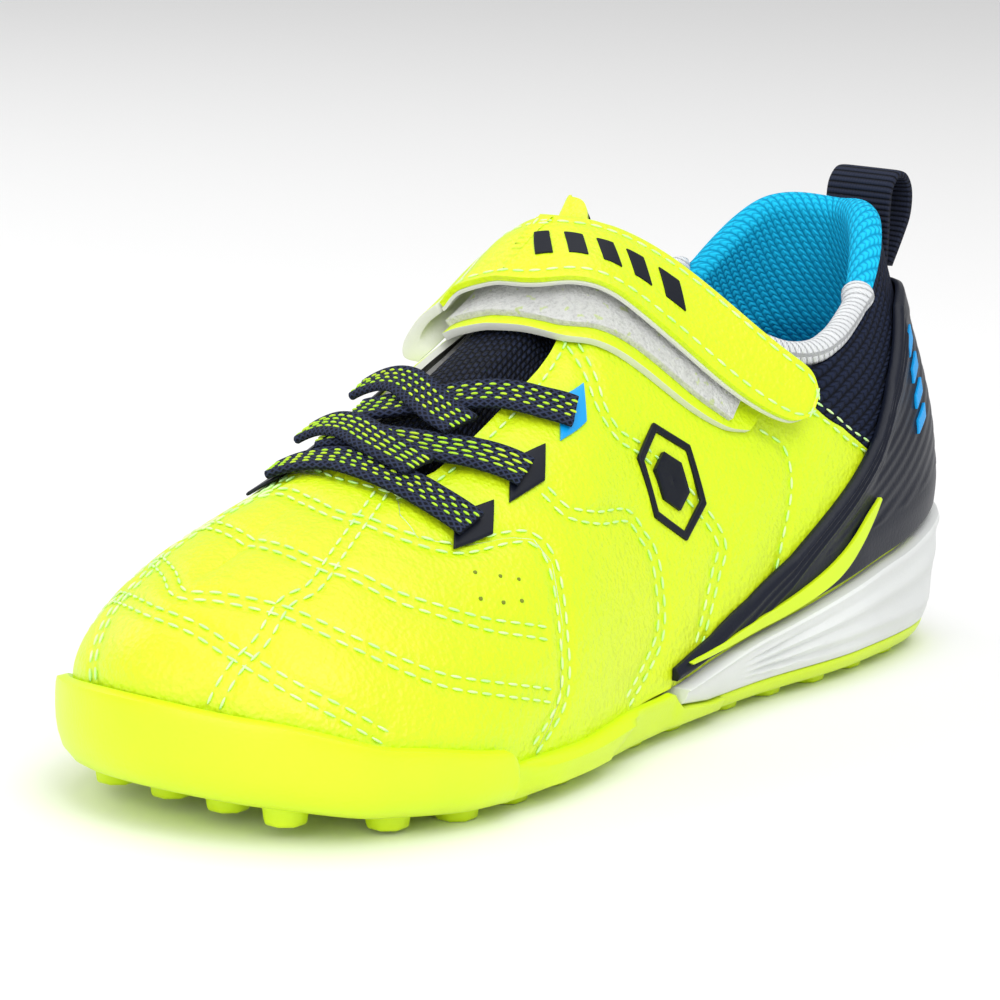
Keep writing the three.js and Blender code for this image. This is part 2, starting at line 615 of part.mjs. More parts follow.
function stud(x, y) {
  const base = underHeight(x);
  const foot = Math.max(0, base - STUD_HEIGHT - 0.5);
  const height = base + 0.8 - foot;
  const nub = new THREE.CylinderGeometry(STUD_RADIUS + 0.5, STUD_RADIUS, height, 8);
  nub.rotateX(Math.PI / 2);
  nub.rotateZ(Math.PI / 8);
  nub.translate(x, y, foot + height / 2);
  return nub;
}

// rows of studs between two lengths; each row is spread over the local sole width
function studs(from, to, pitch, perRow) {
  const nubs = [];
  for (let x = from; x <= to + 0.01; x += pitch) {
    const reach = (side) => {
      let best = null;
      for (let u = 0; u <= 8; u += 0.05) {
        const p = outline(side > 0 ? u : TURNS - u, -5, 0);
        if (!best || Math.abs(p.x - x * SX) < Math.abs(best.x - x * SX)) best = p;
      }
      return best.y;
    };
    const left = reach(1);
    const right = reach(-1);
    for (let k = 0; k < perRow; k += 1) {
      nubs.push(stud(x * SX, THREE.MathUtils.lerp(left, right, k / (perRow - 1))));
    }
  }
  return nubs;
}

function buildSoles() {
  const rubberTop = (x, u) => (u <= TIP_U + 0.03 ? wedgeUnder(x) - GAP : featherHeight(x) - GAP);
  const rubberRows = [NOTCH_U + 0.02, 3.6, TIP_U + 0.02, 4.05, 4.4, 4.8, 5.2, 5.6, 6, 6.4, 6.8,
    7.1, 7.4, 7.6, 7.8, 7.92, 8];
  const forefoot = slab(rubberRows, 4, 0.5, 2, underHeight, rubberTop);
  const ring = Array.from({ length: 29 }, (_, i) => {
    const u = THREE.MathUtils.lerp(5.72, TURNS - 5.72, i / 28);
    const x = feather(u).x;
    const z0 = underHeight(x);
    const z1 = featherHeight(x);
    return [
      outline(u, -1.5, z1 - 1.9),
      outline(u, 1, z0 + 0.8),
      outline(u, 2.9, z0 + 3),
      outline(u, 3.3, (z0 + z1) / 2 + 1),
      skin(u, 0.05, 2.4),
      skin(u, 0.05, GAP),
      skin(u, 0, GAP + 0.3),
    ];
  });
  add('outsole_forefoot', joined([forefoot, loft(ring), ...studs(-8, 83, 13, 4)]), LIME, 0.42);

  const heelRows = [0, 0.1, 0.25, 0.45, 0.7, 1, 1.35, 1.7, 2.1, 2.5, 2.9, NOTCH_U - 0.02];
  const plateTop = () => STUD_HEIGHT + PLATE;
  const heel = slab(heelRows, 4, -0.6, 0.6, () => STUD_HEIGHT, plateTop);
  add('outsole_heel', joined([heel, ...studs(-91, -26, 13, 3)]), LIME, 0.42);

  const wedgeRows = [0, 0.1, 0.25, 0.45, 0.7, 1, 1.35, 1.7, 2.1, 2.5, 2.9, 3.2, 3.5, TIP_U];
  add('midsole', slab(wedgeRows, 4, 1.2, 3.2, wedgeUnder, (x) => featherHeight(x) - GAP), WHITE, 0.6);
}

function buildFootbed() {
  const rows = [0, 0.15, 0.4, 0.8, 1.3, 1.9, 2.5, 3.1, 3.7, 4.3, 4.9, 5.5, 6.1, 6.7, 7.2, 7.6, 7.85, 8];
  const wall = liningLow - 0.7;
  const up = (h) => (x) => featherHeight(x) + h;
  add('lasting_board', slab(rows, 3, wall, wall, up(0.2), up(1.6)), 0xcbb58c, 0.8);
  add('insole', slab(rows, 3, wall - 0.2, wall - 0.4, up(1.6 + GAP), up(5.2)), 0x2f8fc8, 0.85);
}

buildSoles();
buildFootbed();
buildLinings();
buildCollar();
buildLeather();
buildHeelOverlay();
buildTopline();
buildTongue();
buildLaces();
buildStrap();
buildPullLoop();

// the shoe stands on z = 0, centred on its own outline
const outlineBox = new THREE.Box3().setFromObject(group);
const middle = outlineBox.getCenter(new THREE.Vector3());
group.children.forEach((mesh) => mesh.geometry.translate(-middle.x, -middle.y, -outlineBox.min.z));

export default group;
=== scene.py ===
"""Soft and moulded pieces of a child's turf shoe, built round its CAD frame."""

import math

import bmesh
import bpy
import numpy as np
from bpy.props import FloatProperty, FloatVectorProperty, PointerProperty
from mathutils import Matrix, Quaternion, Vector
from mathutils.bvhtree import BVHTree
from mathutils.kdtree import KDTree


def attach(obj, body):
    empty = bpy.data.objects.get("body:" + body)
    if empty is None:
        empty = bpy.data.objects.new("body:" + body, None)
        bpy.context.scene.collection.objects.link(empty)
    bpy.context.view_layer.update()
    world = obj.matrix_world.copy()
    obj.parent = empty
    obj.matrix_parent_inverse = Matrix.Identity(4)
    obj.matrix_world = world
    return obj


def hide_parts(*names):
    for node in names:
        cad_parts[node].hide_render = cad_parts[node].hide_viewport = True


bl_info = {
    "name": "Turf shoe",
    "version": (1, 0, 0),
    "blender": (4, 5, 0),
    "location": "View3D > Sidebar > Turf shoe",
    "description": "Upper, soles, laces, strap and trim of a child's turf shoe",
    "category": "Object",
}

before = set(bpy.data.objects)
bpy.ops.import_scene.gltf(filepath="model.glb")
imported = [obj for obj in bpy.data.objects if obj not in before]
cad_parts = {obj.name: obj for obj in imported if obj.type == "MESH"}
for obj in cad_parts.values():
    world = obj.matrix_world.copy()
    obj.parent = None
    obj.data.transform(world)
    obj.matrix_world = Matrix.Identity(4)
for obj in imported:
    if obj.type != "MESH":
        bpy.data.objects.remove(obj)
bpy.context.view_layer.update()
SHIFT = np.array([3.675, -2.637, 0.0])  # from the last's own origin to the shoe's, mm

# ---- the last: sixteen sections, heel 0, lateral 1..7, toe 8, medial 9..15 ------------------
# feather x y, rim x y z, lower handle out and up, upper handle x y z
SECTIONS = np.array([
    (-100, 5, -94, 3, 83, 3, 20, -3, 0, -24),
    (-90, 25, -86, 15, 82, 3, 20, -2, 4, -24),
    (-60, 31, -66, 25, 66, 1, 18, -1, 4, -18),
    (-28, 30, -46, 23, 62, 0, 20, 0, 5, -16),
    (4, 32, -20, -5, 80, 1, 22, 0, 16, -3),
    (36, 37, 0, -5, 69, 3, 18, 0, 20, -2),
    (62, 37, 32, -4, 54, 4, 14, 1, 20, -1.5),
    (85, 26, 58, -3, 45, 5, 12, 6, 16, -1),
    (96, 0, 75, -2, 38.5, 5, 11, 13, 0, -2.5),
    (88, -21, 58, -3, 45, 5, 12, 7, -14, -1),
    (66, -31, 32, -4, 54, 4, 14, 1, -16, -1.5),
    (38, -34, 0, -5, 69, 2, 18, 0, -15, -2),
    (8, -30, -20, -5, 80, 0, 22, 0, -13, -3),
    (-26, -25, -46, -20, 62, 0, 20, 0, -5, -16),
    (-60, -22, -66, -20, 66, 1, 18, -1, -4, -18),
    (-90, -15, -86, -12, 82, 3, 20, -2, -3, -24),
], float)
ROUND = len(SECTIONS)  # section numbers in one turn
FEATHER = [(-100, 27), (-70, 21), (-30, 14), (0, 9.5), (30, 7.6), (55, 8.4), (75, 12), (90, 17), (100, 20)]
PLATE_UNDER = [(40, 0), (60, 0.4), (77, 1.8), (90, 4), (102, 6.5)]
LIME_EDGE = [(1.4, 0.2), (1.9, 0.42), (2.4, 0.65), (2.85, 0.8), (3.3, 0.865), (3.6, 0.885), (4.1, 0.86),
             (4.6, 0.82), (5.1, 0.79), (6.0, 0.775), (6.2, 0.79), (6.34, 0.85), (6.42, 0.92), (6.45, 1)]
RIM_EDGE = [(2.5, 0.958), (3.0, 0.935), (3.5, 0.92)]
OVERLAY_EDGE = [(0, 0.72), (0.7, 0.75), (1.31, 0.78), (1.72, 0.66), (1.98, 0.51), (2.23, 0.41),
                (2.47, 0.32), (2.75, 0.21), (3.11, 0.125), (3.47, 0.075), (3.84, 0.05)]
SEAM_EDGE = [(0, 5.3), (0.05, 5.24), (0.14, 5.09), (0.28, 5.13), (0.415, 5.26), (0.485, 5.43), (0.525, 5.64),
             (0.57, 6.0), (0.64, 6.28), (0.72, 6.36), (0.8, 6.3)]


def blend_in(x, a, b):
    """0 below a, 1 above b, smooth between."""
    f = np.clip((np.asarray(x, float) - a) / (b - a), 0, 1)
    return f * f * (3 - 2 * f)


def level(table, x):
    """Straight-line lookup in a table of (position, value)."""
    return np.interp(x, [p[0] for p in table], [p[1] for p in table])


def around(column, u):
    """One column of the sections at section number u, as a smooth closed curve."""
    u = np.asarray(u, float) % ROUND
    i = np.floor(u).astype(int)
    f = u - i
    a, b, c, d = (SECTIONS[(i + k) % ROUND, column] for k in (-1, 0, 1, 2))
    return 0.5 * (2 * b + (c - a) * f + (2 * a - 5 * b + 4 * c - d) * f**2 + (3 * b - a - 3 * c + d) * f**3)


def along(points, s):
    """Smooth curve through a list of points, s from 0 to 1."""
    p = np.array(points, float)
    last = len(p) - 1
    x = np.clip(np.asarray(s, float), 0, 1) * last
    i = np.minimum(np.floor(x).astype(int), last - 1)
    f = (x - i)[..., None]
    a, b, c, d = (p[np.clip(i + k, 0, last)] for k in (-1, 0, 1, 2))
    return 0.5 * (2 * b + (c - a) * f + (2 * a - 5 * b + 4 * c - d) * f**2 + (3 * b - a - 3 * c + d) * f**3)


def profile(table, x):
    """Lookup with slightly eased steps, as the frame's own lines have."""
    xs = np.array([p[0] for p in table], float)
    zs = np.array([p[1] for p in table], float)
    x = np.asarray(x, float)
    i = np.clip(np.searchsorted(xs, x) - 1, 0, len(xs) - 2)
    f = np.clip((x - xs[i]) / (xs[i + 1] - xs[i]), 0, 1)
    return zs[i] + (zs[i + 1] - zs[i]) * (0.35 * f * f * (3 - 2 * f) + 0.65 * f)


def feather(u):
    x = around(0, u)
    return np.stack([x, around(1, u), profile(FEATHER, x)], -1)


def outward(u):
    step = feather(np.asarray(u) + 0.01) - feather(np.asarray(u) - 0.01)
    n = np.stack([-step[..., 1], step[..., 0], 0 * step[..., 0]], -1)
    return n / np.linalg.norm(n, axis=-1, keepdims=True)


def outline(u, out, z):
    p = feather(u) + outward(u) * np.asarray(out, float)[..., None]
    p[..., 2] = z
    return p


def form(u, t):
    """Point of the last: t 0 at the feather line, 1 at the rim or on the ridge."""
    u, t = np.broadcast_arrays(np.asarray(u, float), np.asarray(t, float))
    t = t[..., None]
    low = feather(u)
    top = np.stack([around(k, u) for k in (2, 3, 4)], -1)
    bulge = low + outward(u) * around(5, u)[..., None]
    bulge[..., 2] += around(6, u)
    hand = np.stack([around(k, u) for k in (7, 8, 9)], -1)
    hand[..., 2] *= 1 - 0.8 * blend_in(lateral_of(u), 3.9, 4.5)
    return ((1 - t)**3 * low + 3 * (1 - t)**2 * t * bulge + 3 * (1 - t) * t**2 * (top + hand) + t**3 * top)


def lateral_of(u):
    turn = np.asarray(u, float) % ROUND
    return np.minimum(turn, ROUND - turn)


def side_normal(u, t):
    q = np.clip(t, 0.002, 0.985)
    n = np.cross(form(u, q + 0.002) - form(u, q - 0.002), form(u + 0.01, q) - form(u - 0.01, q))
    return n / np.linalg.norm(n, axis=-1, keepdims=True)


def normal(u, t):
    """Outward direction, made continuous over the ridge."""
    u, t = np.broadcast_arrays(np.asarray(u, float), np.asarray(t, float))
    share = 0.5 * blend_in(t, 0.86, 1.0) * blend_in(lateral_of(u), 3.98, 4.12)
    n = side_normal(u, t) * (1 - share[..., None]) + side_normal(ROUND - u, t) * share[..., None]
    return n / np.linalg.norm(n, axis=-1, keepdims=True)


def skin(u, t, h=0.0):
    """Point h mm outside the last."""
    u, t, h = np.broadcast_arrays(np.asarray(u, float), np.asarray(t, float), np.asarray(h, float))
    return form(u, t) + normal(u, t) * h[..., None]


def across(r, a):
    """Coordinates that run over the ridge: r along it, a across it, lateral positive."""
    r, a = np.broadcast_arrays(np.asarray(r, float), np.asarray(a, float))
    return np.where(a >= 0, r, ROUND - r), 1 - np.abs(a)


def over(r, a, h=0.0):
    return skin(*across(r, a), h)


def mirrored(side, points):
    return points if side == "lateral" else [(ROUND - u, *rest) for u, *rest in points]


# ---- mesh helpers ---------------------------------------------------------------------------
def show(name, data):
    """A new object in the scene."""
    made = bpy.data.objects.new(name, data)
    bpy.context.scene.collection.objects.link(made)
    return made


def round_edges(obj, width, segments=2, angle=48):
    """A live bevel of width mm on edges sharper than angle degrees."""
    edge = obj.modifiers.new("rounded edge", "BEVEL")
    edge.width = width / 1000
    edge.segments = segments
    edge.limit_method = "ANGLE"
    edge.angle_limit = math.radians(angle)


def put(name, vertices, faces, materials, uv, face_materials=None, bevel=0.0):
    """A mesh object at the origin from points in mm."""
    mesh = bpy.data.meshes.new(name)
    mesh.from_pydata((np.asarray(vertices, float) + SHIFT) / 1000, [], faces)
    for material in materials:
        mesh.materials.append(material)
    if face_materials is not None:
        mesh.polygons.foreach_set("material_index", face_materials)
    layer = mesh.uv_layers.new(name="UVMap")
    corner = np.empty(len(mesh.loops), int)
    mesh.loops.foreach_get("vertex_index", corner)
    layer.data.foreach_set("uv", uv[corner].ravel())
    body = bmesh.new()
    body.from_mesh(mesh)
    bmesh.ops.remove_doubles(body, verts=body.verts, dist=2e-6)
    bmesh.ops.dissolve_degenerate(body, edges=body.edges, dist=1e-6)
    bmesh.ops.recalc_face_normals(body, faces=body.faces)
    body.to_mesh(mesh)
    body.free()
    mesh.polygons.foreach_set("use_smooth", [True] * len(mesh.polygons))
    obj = show(name, mesh)
    if bevel:
        round_edges(obj, bevel)
    return obj


def lengths(points):
    """UV in mm: distance along the rows and along the columns."""
    s = np.linalg.norm(np.diff(points, axis=0), axis=-1)
    q = np.linalg.norm(np.diff(points, axis=1), axis=-1)
    s = np.concatenate([np.zeros((1, s.shape[1])), np.cumsum(s, 0)])
    q = np.concatenate([np.zeros((q.shape[0], 1)), np.cumsum(q, 1)], 1)
    return np.stack([np.broadcast_to(np.median(s, 1)[:, None], q.shape), q], -1)


def shell(name, high, low, materials, open_edge=None, ring=False, **finish):
    """Closed body between two matching nets; the outer face, inner face and rim may differ in material."""
    rows, cols = high.shape[:2]
    n = rows * cols
    at = np.arange(n).reshape(rows, cols)
    a, b, c, d = at[:-1, :-1], at[1:, :-1], at[1:, 1:], at[:-1, 1:]
    top = np.stack([a, b, c, d], -1).reshape(-1, 4)
    bottom = np.stack([a, d, c, b], -1).reshape(-1, 4) + n
    loops = [at[:, 0][::-1], at[:, -1]]
    if not ring:
        loops += [at[0], at[-1][::-1]]
    walls = []
    closed = open_edge.ravel() if open_edge is not None else np.zeros(n, bool)
    for loop in loops:
        for p, q in zip(loop[:-1], loop[1:]):
            if not (closed[p] and closed[q]):
                walls.append((p, q, q + n, p + n))
    faces = top.tolist() + bottom.tolist() + walls
    kinds = [0] * len(top) + [min(1, len(materials) - 1)] * len(bottom) + [len(materials) - 1] * len(walls)
    uv = lengths(high).reshape(-1, 2)
    points = np.concatenate([high.reshape(-1, 3), low.reshape(-1, 3)])
    return put(name, points, faces, materials, np.concatenate([uv, uv]), kinds, **finish)


def loft(name, rings, materials, **finish):
    """Closed body through matching closed section rings, with flat ends."""
    rows, k = rings.shape[:2]
    at = np.arange(rows * k).reshape(rows, k)
    nxt = np.roll(at, -1, 1)
    faces = np.stack([at[:-1], at[1:], nxt[1:], nxt[:-1]], -1).reshape(-1, 4).tolist()
    faces += [at[0].tolist(), at[-1][::-1].tolist()]
    run, girth = (np.cumsum(np.linalg.norm(np.diff(path, axis=0, prepend=path[:1]), axis=-1))
                  for path in (rings.mean(1), rings[rows // 2]))
    uv = np.stack(np.meshgrid(run, girth, indexing="ij"), -1)
    return put(name, rings.reshape(-1, 3), faces, materials, uv.reshape(-1, 2), **finish)


def frames(points, normals):
    """Side and up directions along a path that keeps to the given normals."""
    t = np.gradient(points, axis=0)
    t /= np.linalg.norm(t, axis=-1, keepdims=True)
    side = np.cross(normals, t)
    side /= np.linalg.norm(side, axis=-1, keepdims=True)
    return side, np.cross(t, side)


def sweep(name, points, side, up, section, materials, **finish):
    """Tube of one section (x along side, y along up) along a path."""
    section = np.array(section, float)
    rings = points[:, None] + side[:, None] * section[None, :, :1] + up[:, None] * section[None, :, 1:]
    return loft(name, rings, materials, **finish)


def oblong(count, half, tall, side_power, top_power):
    """Both coordinates of a flat closed section with rounded corners."""
    turn = np.linspace(0, 2 * math.pi, count, endpoint=False)
    x, y = np.cos(turn), np.sin(turn)
    return np.sign(x) * np.abs(x)**side_power * half, np.sign(y) * np.abs(y)**top_power * tall


def fill_net(lower, upper, rows, cols):
    """Chart net between two edge curves."""
    s = np.linspace(0, 1, rows + 1)
    a, b = along(lower, s), along(upper, s)
    f = np.linspace(0, 1, cols + 1)[None, :, None]
    return a[:, None] * (1 - f) + b[:, None] * f


def sheet(name, net, low, high, materials, place=skin, **finish):
    """Closed sheet over a chart net, from low to high mm outside the last."""
    at = net[..., 0], net[..., 1]
    return shell(name, place(*at, high), place(*at, low), materials, **finish)


def settle(piece, body, nodes=(), slot=None):
    """Finished piece: it rides on its body and stands for its CAD nodes."""
    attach(piece, body)
    if nodes:
        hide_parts(*nodes)
    return piece


class Last:
    """The smooth outer surface of the upper, to lay stitches and marks on."""

    def __init__(self):
        u = np.linspace(0, ROUND, 641)
        t = np.linspace(0, 1, 81)
        net = skin(u[:, None], t[None, :])
        at = np.arange(net.shape[0] * net.shape[1]).reshape(net.shape[:2])
        quads = np.stack([at[:-1, :-1], at[1:, :-1], at[1:, 1:], at[:-1, 1:]], -1).reshape(-1, 4)
        self.tree = BVHTree.FromPolygons(net.reshape(-1, 3).tolist(), quads.tolist())

    def drop(self, points, lift=0.0):
        """Nearest points of the surface, raised by lift, and the surface directions there."""
        spots, ups = [], []
        for p in points:
            spot, up, _, _ = self.tree.find_nearest(Vector(p))
            if up.dot(Vector(p) - Vector((float(p[0]) * 0.9, -2, 25))) < 0:
                up = -up
            spots.append(spot + up * lift)
            ups.append(up)
        return np.array(spots), np.array(ups)

    def line(self, points, lift=0.0, offset=0.0, step=0.5):
        """Smooth line on the surface through section coordinates, moved sideways by offset."""
        ctrl = skin(*np.array(points, float).T)
        rough = along(ctrl, np.linspace(0, 1, 12 * len(points)))
        size = np.concatenate([[0], np.cumsum(np.linalg.norm(np.diff(rough, axis=0), axis=-1))])
        even = np.arange(0, size[-1] + 1e-6, step)
        path = np.stack([np.interp(even, size, rough[:, k]) for k in range(3)], -1)
        spots, ups = self.drop(path)
        if offset:
            side = np.cross(ups, np.gradient(spots, axis=0))
            side /= np.linalg.norm(side, axis=-1, keepdims=True)
            spots, ups = self.drop(spots + side * offset)
        return spots + ups * lift, ups


# ---- shader helpers -------------------------------------------------------------------------
class Sum:
    """A shader socket that takes part in Python sums."""

    def __init__(self, shade, socket):
        self.shade = shade
        self.socket = socket

    def do(self, operation, *others):
        values = dict(enumerate((self, *others)))
        return self.shade.node("ShaderNodeMath", {"operation": operation}, values)

    def __add__(self, other):
        return self.do("ADD", other)

    __radd__ = __add__

    def __sub__(self, other):
        return self.do("SUBTRACT", other)

    def __rsub__(self, other):
        return self.shade.node("ShaderNodeMath", {"operation": "SUBTRACT"}, {0: other, 1: self})

    def __mul__(self, other):
        return self.do("MULTIPLY", other)

    __rmul__ = __mul__

    def __truediv__(self, other):
        return self.do("DIVIDE", other)

    def wave(self):
        """Rounded ridges one unit apart, 0 in the groove and 1 on the crest."""
        return (self * math.pi).do("SINE").do("ABSOLUTE")

    def between(self, low, high):
        return self.shade.node("ShaderNodeMapRange", {"interpolation_type": "SMOOTHSTEP"},
                               {"Value": self, "From Min": low, "From Max": high})


class Finish:
    """A procedural material with one Principled shader."""

    def __init__(self, name, color, roughness, constants=None):
        self.material = bpy.data.materials.new(name)
        self.material.use_nodes = True
        self.tree = self.material.node_tree
        self.shader = next(n for n in self.tree.nodes if n.type == "BSDF_PRINCIPLED")
        self.shader.inputs["Base Color"].default_value = (*color, 1)
        self.shader.inputs["Roughness"].default_value = roughness
        for socket, value in (constants or {}).items():
            self.shader.inputs[socket].default_value = value

    def node(self, kind, settings=None, values=None, output=0):
        made = self.tree.nodes.new(kind)
        for key, value in (settings or {}).items():
            setattr(made, key, value)
        for socket, value in (values or {}).items():
            if isinstance(value, Sum):
                self.tree.links.new(value.socket, made.inputs[socket])
            else:
                made.inputs[socket].default_value = value
        return Sum(self, made.outputs[output])

    def place(self):
        return self.node("ShaderNodeTexCoord", output=3)

    def weave(self):
        """UV in mm as two numbers."""
        xyz = self.node("ShaderNodeSeparateXYZ", None, {0: self.node("ShaderNodeTexCoord", output=2)})
        return xyz, Sum(self, xyz.socket.node.outputs[1])

    def noise(self, scale, detail=3.0, rough=0.5):
        values = {"Vector": self.place(), "Scale": scale, "Detail": detail, "Roughness": rough}
        return self.node("ShaderNodeTexNoise", {}, values)

    def mix(self, mask, a, b):
        values = {0: mask, 6: a if isinstance(a, Sum) else (*a, 1), 7: b if isinstance(b, Sum) else (*b, 1)}
        return self.node("ShaderNodeMix", {"data_type": "RGBA"}, values, output=2)

    def paint(self, color=None, roughness=None, height=None, depth=0.1):
        """Links colour, roughness and a bump of depth mm."""
        if color is not None:
            self.tree.links.new(color.socket, self.shader.inputs["Base Color"])
        if roughness is not None:
            self.tree.links.new(roughness.socket, self.shader.inputs["Roughness"])
        if height is not None:
            bump = self.node("ShaderNodeBump", {}, {"Height": height, "Distance": depth / 1000, "Strength": 1.0})
            self.tree.links.new(bump.socket, self.shader.inputs["Normal"])
        return self.material


def knit(shade, x, y, width, row, lean=0.0):
    """Slanted loops of a coarse knit, x across and y along, in mm."""
    column = (x / width + y * lean).do("FRACT") - 0.5
    wale = 1 - (column * 2).do("ABSOLUTE")
    loop = (y / row + column.do("ABSOLUTE") * 1.1).wave()
    return wale.do("POWER", 0.6) * (0.35 + 0.65 * loop)


class Paints:
    """Every finish of the shoe."""

    def __init__(self, colours):
        lime, navy = tuple(colours.lime), tuple(colours.navy)
        white, blue = tuple(colours.white), tuple(colours.blue)
        self.leather = self.coated("lime leather", lime, 0.4)
        self.strap = self.coated("strap leather", lime, 0.34)
        self.rubber = self.moulded("lime rubber", tuple(colours.rubber), 0.36, 0.05)
        self.foam = self.moulded("white midsole foam", white, 0.5, 0.04)
        self.overlay = self.moulded("navy overlay", navy, 0.4, 0.05, 0.3)
        self.film = self.moulded("navy film", tuple(colours.film), 0.4, 0.02, 0.25)
        self.patch = self.moulded("blue film", tuple(colours.patch), 0.35, 0.02)
        self.print = self.moulded("lime print", lime, 0.4, 0.02)
        self.edge = self.moulded("leather edge", (0.72, 0.74, 0.66), 0.75, 0.08)
        # Painted shade: this dark olive stands for the shadow inside each punched vent hole.
        self.hole = self.moulded("punched hole", (0.2, 0.24, 0.02), 0.9, 0.02)
        self.board = self.moulded("fibre board", (0.5, 0.38, 0.2), 0.8, 0.1)
        self.sheet = self.moulded("stiffener sheet", (0.6, 0.56, 0.47), 0.7, 0.1)
        self.sponge = self.moulded("collar foam", (0.8, 0.7, 0.32), 0.9, 0.3)
        self.thread = self.yarn("stitching thread", tuple(colours.thread), 0.55)
        self.dash = self.yarn("lace marking thread", tuple(colours.dash), 0.6)
        # The knit, weave, binding, lace, cord and webbing finishes below paint shade into the grooves between their
        # yarns, and most of them a lighter highlight onto the raised yarns.
        self.mesh = self.knitted("navy collar knit", navy, tuple(colours.navy_highlight), 2.2, 1.5, 0.42, 0.4, 0.7)
        self.tongue = self.woven("navy tongue weave", navy, tuple(colours.navy_highlight), 1.1)
        self.lining = self.knitted("blue terry lining", blue, tuple(colours.blue_highlight), 1.9, 1.25, 0.35, 0.9)
        self.grey = self.knitted("grey knit lining", (0.3, 0.32, 0.34), (0.5, 0.52, 0.54), 1.2, 0.9, 0.2)
        self.backing = self.knitted("white backing", (0.6, 0.6, 0.58), (0.78, 0.78, 0.76), 0.8, 0.6, 0.1)
        self.footbed = self.knitted("footbed cover", (0.02, 0.16, 0.3), (0.03, 0.25, 0.45), 1.1, 0.8, 0.15)
        self.roll = self.twisted("pale knit binding", tuple(colours.binding))
        self.lace = self.braided("navy lace braid", tuple(colours.lace))
        self.cord = self.ribbed("lace edge cord", tuple(colours.lace), 0.75)
        self.webbing = self.ribbed("navy webbing", navy, 1.05)
        self.loops = self.fleecy("loop tape", (0.95, 0.96, 0.94), lime)
        self.hooks = self.fleecy("hook tape", (0.75, 0.77, 0.75), (0.7, 0.72, 0.7))

    def coated(self, name, color, roughness):
        shade = Finish(name, color, roughness, {"Coat Weight": 0.1, "Coat Roughness": 0.35})
        cloud = shade.noise(26, 4)
        tone = shade.mix(cloud.between(0.35, 0.7), color, (color[0] * 1.06, color[1] * 1.0, color[2] * 1.5))
        worn = shade.mix(shade.noise(420, 2).between(0.4, 0.8) * 0.35, tone, tuple(c * 0.9 for c in color))
        pores = shade.node("ShaderNodeTexVoronoi", {}, {"Vector": shade.place(), "Scale": 1100})
        creases = shade.noise(150, 6, 0.6)
        height = pores * 0.25 + shade.noise(900, 3) * 0.35 + creases * 0.9
        return shade.paint(worn, roughness - 0.06 + cloud * 0.12, height, 0.55)

    def moulded(self, name, color, roughness, depth, gloss=0.5):
        shade = Finish(name, color, roughness, {"Specular IOR Level": gloss})
        cloud = shade.noise(45, 3)
        tone = shade.mix(cloud.between(0.3, 0.75), color, tuple(c * 0.93 for c in color))
        return shade.paint(tone, roughness - 0.05 + cloud * 0.1, shade.noise(1600, 3), depth)

    def yarn(self, name, color, roughness):
        shade = Finish(name, color, roughness)
        tone = shade.mix(shade.noise(180, 2).between(0.4, 0.6), color, (color[0] * 0.8, color[1], color[2] * 0.8))
        return shade.paint(tone, None, shade.noise(3500, 2), 0.1)

    def knitted(self, name, low, high, width, row, lean, groove_shade=0.6, depth=0.4):
        shade = Finish(name, high, 0.85, {"Specular IOR Level": 0.15})
        s, q = shade.weave()
        height = knit(shade, s, q, width, row, lean)
        fuzz = shade.noise(2600, 3)
        # Painted light: the low colour, darkened by the groove factor, is painted shade in the knit's grooves. The
        # high colour is a painted highlight on its raised loops, blended by loop height.
        tone = shade.mix(height.between(0.05, 0.75) * (0.75 + 0.25 * fuzz), tuple(c * groove_shade for c in low), high)
        return shade.paint(tone, 0.75 + fuzz * 0.2, height + fuzz * 0.25, depth)

    def woven(self, name, low, high, pitch):
        shade = Finish(name, high, 0.7, {"Specular IOR Level": 0.2})
        s, q = shade.weave()
        row = (q / pitch).do("FLOOR")
        warp = (s / (pitch * 1.5) + row * 0.5).wave()
        weft = (q / pitch).wave()
        height = warp.do("POWER", 0.5) * weft.do("POWER", 0.5)
        fuzz = shade.noise(2200, 2)
        # Painted light: the grooves of the weave get the low colour darkened to 0.3 (painted shade) and the raised
        # yarns the high colour (painted highlight).
        tone = shade.mix(height.between(0.3, 0.95) * fuzz.between(0.25, 0.7), tuple(c * 0.3 for c in low), high)
        return shade.paint(tone, None, height + fuzz * 0.2, 0.55)

    def twisted(self, name, color):
        shade = Finish(name, color, 0.8, {"Specular IOR Level": 0.2})
        s, q = shade.weave()
        strand = (s / 1.15 + q / 4.2).wave().do("POWER", 0.6)
        fibre = (s / 0.42 - q / 1.6).wave()
        # Painted shade: the grooves between the twisted strands get the binding colour darkened to 0.66.
        tone = shade.mix(strand.between(0.0, 0.7), tuple(c * 0.66 for c in color), color)
        return shade.paint(tone, None, strand + fibre * 0.25 + shade.noise(2500, 2) * 0.2, 0.45)

    def braided(self, name, color):
        shade = Finish(name, color, 0.75, {"Specular IOR Level": 0.2})
        s, q = shade.weave()
        one = (s / 1.5 + q / 1.05).wave()
        two = (s / 1.5 - q / 1.05).wave()
        height = one.do("MAXIMUM", two).do("POWER", 1.6)
        # Painted light: the raised braid gets a much lighter copy of the lace colour (painted highlight) and the
        # grooves a darker copy (painted shade).
        light = tuple(c * 3.2 + 0.006 for c in color)
        tone = shade.mix(height.between(0.45, 1.0), tuple(c * 0.4 for c in color), light)
        return shade.paint(tone, None, height + shade.noise(2500, 2) * 0.2, 0.3)

    def ribbed(self, name, color, pitch):
        shade = Finish(name, color, 0.75, {"Specular IOR Level": 0.2})
        s, q = shade.weave()
        rib = (s / pitch).wave().do("POWER", 0.7)
        height = rib * (0.8 + 0.2 * (q / 0.6).wave())
